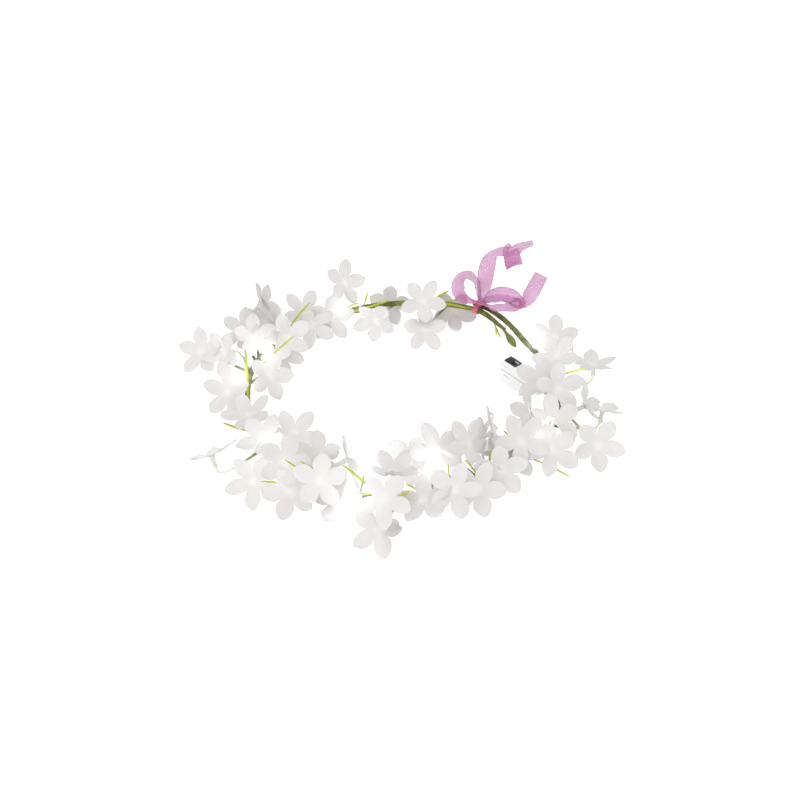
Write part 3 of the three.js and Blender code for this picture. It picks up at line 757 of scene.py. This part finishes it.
def petal_skins(dice, centre, facing, petal, beside):
    """Upper and lower skin of a petal, row by row from the throat, and the places on its cloth."""
    along, side, lift = petal
    length = PETAL_LENGTH * PETAL_REACH * (1 + dice.uniform(-0.08, 0.03))
    half = PETAL_HALF_WIDTH * (1 + dice.uniform(-0.14, 0.03))
    end = dice.uniform(0.5, 0.85)
    cup = dice.uniform(-0.5, 1.2)
    lean = dice.uniform(-0.9, 0.9)
    ripple = dice.uniform(0.12, 0.4)
    phase = dice.uniform(0, 6.28)
    spread = tan(pi / PETALS)
    upper, lower, cloth = ([None] * PETAL_POINTS for _ in range(3))
    for k in range(PETAL_COLUMNS):
        v = 2 * k / (PETAL_COLUMNS - 1) - 1
        next_along, _, next_lift = beside[1 if v > 0 else 0]
        shared = (lift + next_lift) / 2
        seam = (along + next_along).normalized()
        x, z, last, root = 0.0, 0.0, 0.0, 0.0
        for j in range(PETAL_ROWS):
            if j <= FUSED_ROWS:
                run = FUSED_LENGTH * j / FUSED_ROWS
                t = 0.0
            else:
                t = 1 - (1 - (j - FUSED_ROWS) / (PETAL_ROWS - 1 - FUSED_ROWS)) ** 1.7
                run = FUSED_LENGTH + (length - FUSED_LENGTH) * t
            free = smoothstep(t, 0, 0.45)
            shared_lift = (shared - lift) * abs(v) ** 1.5 * (1 - free)
            slope = lift + shared_lift + PETAL_CURL * (run + last) / 2 / PETAL_LENGTH
            x += (run - last) * cos(slope)
            z += (run - last) * sin(slope)
            last = run
            u = run / length
            lean_way = along.lerp(seam, v**4 * (1 - free))
            normal = facing * cos(slope) - lean_way * sin(slope) if j else facing
            if j <= FUSED_ROWS:
                wide = root = x * spread
            else:
                wide = max(lobe_half_width(t, root, half, end), PETAL_TIP_HALF)
            height = free * (cup * v * v * (1 - 0.5 * u) + lean * v * u)
            height -= RIB_DEPTH * exp(-((v / 0.2) ** 2)) * sin(pi * u)
            height += free * ripple * sin(phase + 6 * u + 2.5 * v) * (0.3 + 0.7 * v * v)
            height -= TIP_DROOP * u**6 + THROAT_DIP * exp(-((x / 1.3) ** 2))
            p = centre + along * x + facing * z + side * (v * wide) + normal * height
            thick = normal * (PETAL_HALF_THICKNESS - PETAL_THINNING * t)
            at = j * PETAL_COLUMNS + k
            upper[at] = p + thick
            lower[at] = p - thick
            cloth[at] = (run, v * wide)
    return upper, lower, cloth


def petal_faces(first):
    """Faces of a petal's two skins and of the rim of its free lobe, counted from its first point."""
    faces = []
    for j in range(PETAL_ROWS - 1):
        for k in range(PETAL_COLUMNS - 1):
            a = first + j * PETAL_COLUMNS + k
            faces.append((a, a + PETAL_COLUMNS, a + PETAL_COLUMNS + 1, a + 1))
            a += PETAL_POINTS
            faces.append((a, a + 1, a + PETAL_COLUMNS + 1, a + PETAL_COLUMNS))
    rim = [j * PETAL_COLUMNS for j in range(FUSED_ROWS, PETAL_ROWS)]
    rim += [(PETAL_ROWS - 1) * PETAL_COLUMNS + k for k in range(1, PETAL_COLUMNS)]
    rim += [j * PETAL_COLUMNS + PETAL_COLUMNS - 1 for j in reversed(range(FUSED_ROWS, PETAL_ROWS - 1))]
    for a, b in zip(rim, rim[1:]):
        faces.append((first + b, first + a, first + a + PETAL_POINTS, first + b + PETAL_POINTS))
    return faces


def build_flower(name, node, number, centre, facing, petals):
    """Five petals grown together round the throat, on a slim tube."""
    dice = np.random.default_rng(number * 7 + 3)
    points, faces, uv, throat_tint_and_painted_light, tints = [], [], [], [], []
    # Throat tint and painted light, strongest at the throat and gone from the sixth row on
    throat_tint_and_light_rows = [max(0, 0.9 - 0.2 * (at // PETAL_COLUMNS)) for at in range(PETAL_POINTS)]
    for i, petal in enumerate(petals):
        beside = (petals[i - 1], petals[(i + 1) % PETALS])
        upper, lower, cloth = petal_skins(dice, centre, facing, petal, beside)
        tint = dice.uniform(0, 1)
        faces.extend(petal_faces(len(points)))
        points.extend(upper + lower)
        uv.extend(cloth + cloth)
        throat_tint_and_painted_light.extend(throat_tint_and_light_rows + throat_tint_and_light_rows)
        tints.extend([tint] * (2 * PETAL_POINTS))
    loft(lathe_rings(TUBE_PROFILE, axis_matrix(centre, facing), TUBE_SIDES), points, faces)
    # The tube's top takes the same throat tint and painted light
    for _, z in TUBE_PROFILE:
        for k in range(TUBE_SIDES):
            uv.append((z, 0.4 * k))
            throat_tint_and_painted_light.append(0.9 if z > -1.0 else 0.1)
            tints.append(0.3)
    obj = make_object(name, points, faces, PETAL)
    set_uv(obj, uv)
    set_value(obj, "throat", throat_tint_and_painted_light)
    set_value(obj, "tint", tints)
    # Painted glow near the bulbs, kept in the lit value
    set_value(obj, "lit", painted_bulb_glow(points))
    weld(obj, 0.00001)
    crease(obj, PETAL_CREASE)
    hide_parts(node.name)


# Middle, facing, clock of the stalk's root and node of each flower
flowers = []
for i, own_lag in enumerate(LAGS):
    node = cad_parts[f"flower_{i + 1:02d}"]
    for k, (centre, facing, petals) in enumerate(flower_places(node)):
        build_flower(f"cloth_{node.name}_{k + 1}", node, 50 * k + i, centre, facing, petals)
        clock = degrees(atan2(centre.y - RING_CENTRE.y, centre.x - RING_CENTRE.x)) % 360
        lag = next((twin[2] for twin in TWINS if twin[0] == i + 1 and abs(twin[1] - clock) < 1), own_lag)
        flowers.append((centre, facing, clock + lag, node.name))


# Stem: helically taped ring, stalks with small calyxes
def build_stem():
    points, faces, wrap, green = [], [], [], []
    first, last = STEM_ROWS[0][0], STEM_ROWS[-1][0]
    line = [stem_point(first + (last - first) * i / STEM_STEPS) for i in range(STEM_STEPS + 1)]

    def taped(share, angle, distance):
        turn = (distance / TAPE_PITCH + angle / (2 * pi)) % 1
        lump = 0.05 * sin(distance / 9) + 0.04 * sin(distance / 3.7 + 1)
        ends = min(1, 0.55 + 14 * min(share, 1 - share))
        return (STEM_RADIUS - TAPE_LAP / 2 + TAPE_LAP * turn + lump) * ends

    def stalk_radius(share, _, distance):
        return STALK_RADIUS + STALK_ROOT * (1 - share) ** 3 + 0.04 * sin(distance * 1.7)

    loft(tube_rings(line, STEM_SIDES, taped), points, faces)
    for i in range(STEM_STEPS + 1):
        distance = i * STEM_LENGTH / STEM_STEPS
        for k in range(STEM_SIDES):
            turn = (distance / TAPE_PITCH + k / STEM_SIDES) % 1
            wrap.append(0.75 if turn < 0.1 else 0.0)
            green.append(0.0)
    for centre, facing, root, _ in flowers:
        end = centre - facing * (TUBE_LENGTH + 0.3)
        bend = end - facing * STALK_BEND
        low = end.z < RING_CENTRE.z + STEM_HEIGHT
        bend.z = max(bend.z, RING_CENTRE.z + (3 if low else STEM_HEIGHT + 1))
        neck = end - facing * STALK_NECK
        start = len(points)
        stalk = bezier(stem_at(root), bend, neck, end, STALK_STEPS)
        loft(tube_rings(stalk, STALK_SIDES, stalk_radius), points, faces)
        loft(lathe_rings(CUP_PROFILE, axis_matrix(centre, facing), CUP_SIDES), points, faces)
        added = len(points) - start
        wrap.extend([0.0] * added)
        green.extend(0.97 * smoothstep(i // STALK_SIDES, 1, 9) for i in range(added))
    obj = make_object("taped_stem", points, faces, TAPE)
    set_value(obj, "wrap", wrap)
    set_value(obj, "green", green)
    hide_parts("stem")


def build_blades():
    """Slim green leaves, and the bud at the stem's inner end."""
    points, faces, uv, root_share = [], [], [], []

    def blade(root, tip, half, bow):
        along = tip - root
        length = along.length
        ahead = along / length
        side = UP.cross(ahead).normalized()
        over = ahead.cross(side)
        rings = []
        for t in shares(LEAF_STEPS):
            if t < 0.5:
                wide = half * (0.35 + 1.3 * t)
            else:
                wide = half * sqrt(max(1 - ((t - 0.5) / 0.5) ** 2, 0.002))
            middle = root + along * t + over * (bow * sin(pi * t))
            ring = []
            for a in turns(LEAF_SIDES):
                across = wide * cos(a)
                thick = LEAF_THICKNESS * sin(a) * min(1, 0.4 + wide / half)
                fold = LEAF_FOLD * abs(cos(a)) * wide
                ring.append(middle + side * across + over * (thick + fold))
                uv.append((t * length, across))
                root_share.append(max(0, 0.9 - 2.6 * t))
            rings.append(ring)
        loft(rings, points, faces)

    for i, (root_clock, clock, reach, rise, half) in enumerate(LEAF_ROWS):
        bow = LEAF_BOW if i % 2 else -LEAF_BOW
        blade(stem_at(root_clock), near_ring(clock, reach, rise), half, bow)
    root = stem_at(BUD_ROOT)
    tip = near_ring(*BUD_TIP)
    length = (tip - root).length
    profile = [(r, z * length) for r, z in BUD_PROFILE]
    loft(lathe_rings(profile, axis_matrix(root, tip - root), BUD_SIDES), points, faces)
    for _, z in profile:
        for k in range(BUD_SIDES):
            uv.append((z, 0.4 * k))
            root_share.append(0.85)
    obj = make_object("green_blades", points, faces, BLADE)
    set_uv(obj, uv)
    set_value(obj, "root", root_share)


def build_stamen():
    """One orange stamen, which stands in the throat of a flower at the left."""
    centre, facing = next(flower[:2] for flower in flowers if flower[3] == STAMEN_FLOWER)
    points, faces = [], []
    loft(lathe_rings(STAMEN_PROFILE, axis_matrix(centre, facing), STAMEN_SIDES), points, faces)
    obj = make_object("stamen", points, faces, ANTHER)


build_stem()
build_blades()
build_stamen()


# Light string: a twisted pair bound under the stem, and the bulbs
def twisted_pair(name, places, step, spread):
    """Two thin leads wound round each other; places hold a middle and two directions across it."""
    points, faces = [], []
    for phase in (0, pi):
        line = []
        for i, (middle, x, y) in enumerate(places):
            turn = phase + i * step
            line.append(middle + (x * cos(turn) + y * sin(turn)) * spread)
        loft(tube_rings(line, LEAD_SIDES, lambda *_: LEAD_RADIUS), points, faces)
    pair = make_object(name, points, faces, WIRE)
    return pair


def build_pair():
    clocks = [LEAD_CLOCK - LEAD_SWEEP * t for t in shares(LEAD_STEPS)]
    places = [(stem_at(clock) - UP * LEAD_DROP, polar(clock, 1, 0), UP) for clock in clocks]
    pair = twisted_pair("light_pair", places, LEAD_TURN, LEAD_SPREAD)
    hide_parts("light_wire")


def build_bulb(number, clock, reach, rise):
    """A lit bulb, its own short pair of leads and a small lamp beside it."""
    middle = near_ring(clock, reach, rise)
    root = stem_at(clock)
    axis = (middle - root).normalized()
    place = axis_matrix(middle, axis)
    points, faces, glow = [], [], []
    loft(lathe_rings(BULB_PROFILE, place, BULB_SIDES), points, faces)
    for _, z in BULB_PROFILE:
        glow.extend([0.0 if z < -2.1 else min(1, 0.55 + (z + 2) / 6)] * BULB_SIDES)
    bulb = make_object(f"bulb_{number:02d}", points, faces, BULB)
    set_value(bulb, "glow", glow)
    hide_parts(f"light_bulb_{number:02d}")
    start = root + axis * (STEM_RADIUS + 0.3)
    stop = middle - axis * BULB_FOOT
    x = place.to_3x3() @ Vector((1, 0, 0))
    y = place.to_3x3() @ Vector((0, 1, 0))
    places = [(start.lerp(stop, t), x, y) for t in shares(BULB_LEAD_STEPS)]
    twisted_pair(f"bulb_lead_{number:02d}", places, BULB_LEAD_TURN / BULB_LEAD_STEPS, BULB_LEAD_SPREAD)
    lamp = bpy.data.lights.new(f"glow_{number:02d}", "POINT")
    lamp.energy = LAMP_POWER
    lamp.color = (0.95, 0.97, 1.0)
    lamp.shadow_soft_size = LAMP_RADIUS * MM
    light = bpy.data.objects.new(f"glow_{number:02d}", lamp)
    light.location = (middle + axis * LAMP_AHEAD + Vector((0, 0, LAMP_ABOVE))) * MM
    add(light)


build_pair()
for i, row in enumerate(BULB_ROWS):
    build_bulb(i + 1, *row)


# Battery box
box_corner = stem_at(BOX_CLOCK)
box_reach = hypot(box_corner.x - RING_CENTRE.x, box_corner.y - RING_CENTRE.y) - STEM_RADIUS - BOX_GAP
box_place = RING_CENTRE + polar(BOX_CLOCK, box_reach, BOX_FLOOR)
BOX = Matrix.Translation(box_place) @ Matrix.Rotation(BOX_TURN, 4, "Z")


def rounded_outline(size, corner, inset, centre):
    """Outline of a rectangle with round corners, drawn in by an inset."""
    out = []
    half_x, half_y = size[0] / 2 - inset, size[1] / 2 - inset
    r = max(corner - inset, 0.05)
    for sx, sy, start in ((1, -1, -90), (1, 1, 0), (-1, 1, 90), (-1, -1, 180)):
        for k in range(CORNER_STEPS + 1):
            a = radians(start + 90 * k / CORNER_STEPS)
            x = centre[0] + sx * (half_x - r) + r * cos(a)
            y = centre[1] + sy * (half_y - r) + r * sin(a)
            out.append((x, y))
    return out


def block(name, size, span, rounding, centre, material, body=BODY):
    """A box of a size and a span of height, with rounded corners and rims, in the battery box's frame."""
    low, high = span
    corner, edge = rounding
    angles = [pi / 2 * k / RIM_STEPS for k in range(RIM_STEPS + 1)]
    rim = [(edge * (1 - sin(a)), edge * (1 - cos(a))) for a in angles]
    rows = [(low + off, inset) for off, inset in reversed(rim)]
    rows += [(high - off, inset) for off, inset in rim]
    rings = []
    for z, inset in rows:
        rings.append([BOX @ Vector((x, y, z)) for x, y in rounded_outline(size, corner, inset, centre)])
    points, faces = [], []
    loft(rings, points, faces)
    return make_object(name, points, faces, material, smooth=False, body=body)


def cut(obj, *cutters):
    """Cuts solids out of a piece and removes the cutters."""
    for cutter in cutters:
        modifier = obj.modifiers.new("cut", "BOOLEAN")
        modifier.operation = "DIFFERENCE"
        modifier.solver = "EXACT"
        modifier.object = cutter
    bpy.context.view_layer.update()
    depsgraph = bpy.context.evaluated_depsgraph_get()
    mesh = bpy.data.meshes.new_from_object(obj.evaluated_get(depsgraph))
    obj.modifiers.clear()
    obj.data = mesh
    weld(obj, 0.000002)
    for cutter in cutters:
        bpy.data.objects.remove(cutter)


def build_box():
    """Case and lid with a black block in the seam between them as painted shade, and the switch in the lid.
    """
    outer = (BOX_LENGTH, BOX_WIDTH)
    middle = (-BOX_LENGTH / 2, -BOX_WIDTH / 2)
    low = CASE_HEIGHT + SEAM
    high = low + LID_HEIGHT
    length, width, depth, slot_x, slot_y = SLOT
    slot = (slot_x, slot_y)
    case = block("box_case", outer, (0, CASE_HEIGHT), (1.2, 0.45), middle, WHITE)
    cut(
        case,
        block("cutter_a", (1.2, 5.6), (5.6, 7.0), (0.2, 0.1), (-BOX_LENGTH, -8.4), WHITE),
        block("cutter_b", (5.0, 1.0), (5.6, 7.0), (0.2, 0.1), (-16, -BOX_WIDTH), WHITE),
        block("cutter_c", (0.9, 1.1), (1.6, 2.8), (0.3, 0.1), (-4.5, -BOX_WIDTH), WHITE),
    )
    lid = block("box_lid", outer, (low, high), (1.2, 0.6), middle, WHITE)
    groove = (0.45, BOX_WIDTH - 2.4)
    cut(
        lid,
        block("cutter_d", (length, width), (high - depth, high + 2), (0.5, 0.05), slot, WHITE),
        block("cutter_e", groove, (high - 0.35, high + 1), (0.15, 0.05), (-10.8, middle[1]), WHITE),
        block("cutter_f", (1.0, 4.0), (low - 1, low + 1.1), (0.2, 0.05), (-BOX_LENGTH, middle[1]), WHITE),
    )
    for obj, node in ((case, "battery_case"), (lid, "battery_lid")):
        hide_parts(node)
    # Painted shade: a black block inside the seam between case and lid stands in for the shade in that gap
    seam_shade_size = (BOX_LENGTH - 1.6, BOX_WIDTH - 1.6)
    inner = block("seam_shade_block", seam_shade_size, (CASE_HEIGHT - 0.2, low + 0.2), (0.8, 0.05), middle, BLACK)
    frame_size = (length + 1.8, width + 1.8)
    opening = (length - 0.1, width - 0.1)
    bezel = block("switch_bezel", frame_size, (high - 0.1, high + 0.25), (0.8, 0.12), slot, BLACK)
    cut(bezel, block("cutter_g", opening, (high - 1, high + 1), (0.5, 0.05), slot, BLACK))
    ground = (high - depth - 0.15, high - depth + 0.15)
    floor = block("switch_floor", opening, ground, (0.4, 0.05), slot, BLACK)
    knob_x = slot_x - (length - KNOB[0]) / 2 + SEAM
    knob_low = high - depth + SEAM
    knob_span = (knob_low, knob_low + KNOB[2])
    knob = block("switch_slider", KNOB[:2], knob_span, (0.4, 0.25), (knob_x, slot_y), BLACK, body=SWITCH)
    ridge = (0.35, KNOB[1] + 1)
    ridge_span = (knob_low + KNOB[2] - 0.3, knob_low + 5)
    ridges = []
    for k, x in enumerate((-0.9, 0, 0.9)):
        at = (knob_x + x, slot_y)
        ridges.append(block(f"cutter_r{k}", ridge, ridge_span, (0.1, 0.02), at, BLACK, body=SWITCH))
    cut(knob, *ridges)
    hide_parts("switch_knob")
    for obj in (case, lid, inner, bezel, floor, knob):
        crease(obj, BOX_CREASE)


build_box()


# Bow of sheer ribbon
def catmull(rows, t):
    """Row of a table at a share of its length, smooth through every row."""
    count = len(rows) - 1
    i = min(int(t * count), count - 1)
    s = t * count - i
    p0 = rows[max(i - 1, 0)]
    p1, p2 = rows[i], rows[i + 1]
    p3 = rows[min(i + 2, count)]
    bend = 2 * p0 - 5 * p1 + 4 * p2 - p3
    twist = 3 * p1 - p0 - 3 * p2 + p3
    return 0.5 * (2 * p1 + (p2 - p0) * s + bend * s**2 + twist * s**3)


def bow_matrix():
    """Placing of the bow, and the middle of the two stem ends under it."""
    stems = (stem_point(BOW_CLOCK) + stem_point(BOW_CLOCK + 360)) / 2
    right = Vector((1, 0, 0))
    up = Vector((0, sin(BOW_LEAN), cos(BOW_LEAN)))
    front = Vector((0, -cos(BOW_LEAN), sin(BOW_LEAN)))
    origin = Vector((stems.x + BOW_OFFSET[0], stems.y + BOW_OFFSET[1], RING_CENTRE.z + BOW_HEIGHT))
    return Matrix.Translation(origin) @ Matrix((right, up, front)).transposed().to_4x4(), stems


BOW, bow_stems = bow_matrix()


def build_strand(name, rows):
    """One strand of ribbon, gathered towards the knot; gives the piece and its length."""
    table = [np.array(r, float) for r in rows]
    steps = RIBBON_STEPS * (len(rows) - 1)
    samples = [catmull(table, t) for t in shares(steps)]
    middles = [Vector(s[:3]) for s in samples]
    points, faces, uv, edge, blush = [], [], [], [], []
    travelled = 0.0
    for i, (middle, s) in enumerate(zip(middles, samples)):
        ahead = (middles[min(i + 1, steps)] - middles[max(i - 1, 0)]).normalized()
        across = Vector(s[3:])
        across = (across - ahead * across.dot(ahead)).normalized()
        over = ahead.cross(across)
        if i:
            travelled += (middle - middles[i - 1]).length
        gathered = 1 - smoothstep(middle.length, 2.5, 10)
        half = RIBBON_WIDTH / 2 * (1 - RIBBON_GATHER * gathered)
        for k in range(RIBBON_COLUMNS):
            v = 2 * k / (RIBBON_COLUMNS - 1) - 1
            pleat = gathered * 0.6 * sin(2.6 * pi * v + 0.6)
            sway = 0.2 * sin(travelled / 5.5 + 1.4 * v)
            points.append(BOW @ (middle + across * (v * half) + over * (pleat + sway + 0.35 * v * v)))
            uv.append((travelled, v * RIBBON_WIDTH / 2))
            edge.append(1.0 if abs(v) > 0.97 else 0.0)
            blush.append(0.2 * (1 - smoothstep(middle.length, 1.5, 5)))
    for i in range(steps):
        for k in range(RIBBON_COLUMNS - 1):
            a = i * RIBBON_COLUMNS + k
            faces.append((a, a + 1, a + RIBBON_COLUMNS + 1, a + RIBBON_COLUMNS))
    obj = make_object(f"ribbon_{name}", points, faces, ORGANZA)
    set_uv(obj, uv)
    set_value(obj, "edge", edge)
    set_value(obj, "blush", blush)
    solid = obj.modifiers.new("thickness", "SOLIDIFY")
    solid.thickness = RIBBON_THICKNESS * MM
    solid.offset = 0
    return obj, travelled


def knot_rings():
    """Rings of the folded knot, along the bow's line to the right."""
    rings = []
    for t in shares(KNOT_STEPS):
        x = KNOT_LENGTH * (t - 0.5)
        swell = 1 - 0.35 * (2 * t - 1) ** 2
        ring = []
        for a in turns(KNOT_SIDES):
            fold = 0.16 * sin(5 * a + 2.5 * t) + 0.1 * sin(11 * a - 3 * t)
            r = (KNOT_RADIUS + fold) * swell
            ring.append(BOW @ Vector((x, r * cos(a), r * 1.1 * sin(a))))
        rings.append(ring)
    return rings


def band_rings():
    """Rings of the band round the stem ends: out over its outer skin, back over its inner one."""
    along = stem_point(BOW_CLOCK - 3) - stem_point(BOW_CLOCK + 3)
    along.z = 0
    along.normalize()
    side = UP.cross(along)
    outer, inner = [], []
    for t in shares(BAND_STEPS):
        skins = ([], [])
        for a in turns(BAND_SIDES):
            grow = 0.5 + 0.22 * sin(6 * pi * t + 1.3 * sin(a)) + 0.15 * sin(3 * a)
            for skin, more in zip(skins, (grow, 0)):
                wide, tall = BAND_HALF[0] + more, BAND_HALF[1] + more
                point = bow_stems + along * (BAND_WIDTH * (t - 0.5)) + side * (wide * cos(a))
                skin.append(point + Vector((0, 0, tall * sin(a))))
        outer.append(skins[0])
        inner.insert(0, skins[1])
    return outer + inner + outer[:1]


def build_bow():
    for name, rows in STRANDS.items():
        obj, length = build_strand(name, rows)
    points, faces, uv = [], [], []
    loft(knot_rings(), points, faces)
    for t in shares(KNOT_STEPS):
        uv += [(a * 3, KNOT_LENGTH * (t - 0.5)) for a in turns(KNOT_SIDES)]
    edge = [0.25] * len(points)
    blush = [0.12] * len(points)
    start = len(points)
    rings = band_rings()
    loft(rings, points, faces, capped=False)
    for i in range(len(rings)):
        uv += [(0.5 * k, 0.3 * i) for k in range(BAND_SIDES)]
    edge += [0.2] * (len(points) - start)
    blush += [0.62] * (len(points) - start)
    knot = make_object("ribbon_knot", points, faces, ORGANZA)
    set_uv(knot, uv)
    set_value(knot, "edge", edge)
    set_value(knot, "blush", blush)
    weld(knot, 0.00002)
    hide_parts("ribbon_bow")


build_bow()


# Stage: pale floor and soft light
def build_stage():
    mesh = bpy.data.meshes.new("floor")
    corners = [(x * FLOOR_HALF, y * FLOOR_HALF, 0) for x, y in ((-1, -1), (1, -1), (1, 1), (-1, 1))]
    mesh.from_pydata(corners, [], [(0, 1, 2, 3)])
    mesh.materials.append(floor_look())
    floor = bpy.data.objects.new("floor", mesh)
    add(floor)
    world = bpy.data.worlds.new("studio")
    world.use_nodes = True
    sky = world.node_tree.nodes["Background"]
    sky.inputs["Color"].default_value = (1.0, 0.995, 0.99, 1)
    sky.inputs["Strength"].default_value = SKY_STRENGTH
    bpy.context.scene.world = world
    for name, place, size, energy in LIGHTS:
        lamp = bpy.data.lights.new(name, "AREA")
        lamp.energy = energy
        lamp.size = size
        light = bpy.data.objects.new(name, lamp)
        light.location = place
        light.rotation_euler = (LIGHT_TARGET - Vector(place)).to_track_quat("-Z", "Y").to_euler()
        add(light)


build_stage()
bpy.context.scene.view_settings.view_transform = "Standard"


def build_bloom():
    """Soft bloom round the lit bulbs, as a lens gives it."""
    scene = bpy.context.scene
    scene.use_nodes = True
    tree = scene.node_tree
    tree.nodes.clear()
    layers = tree.nodes.new("CompositorNodeRLayers")
    glare = tree.nodes.new("CompositorNodeGlare")
    out = tree.nodes.new("CompositorNodeComposite")
    glare.glare_type = "BLOOM"
    glare.quality = "HIGH"
    for name, value in BLOOM.items():
        glare.inputs[name].default_value = value
    tree.links.new(layers.outputs["Image"], glare.inputs["Image"])
    tree.links.new(glare.outputs["Image"], out.inputs["Image"])


build_bloom()
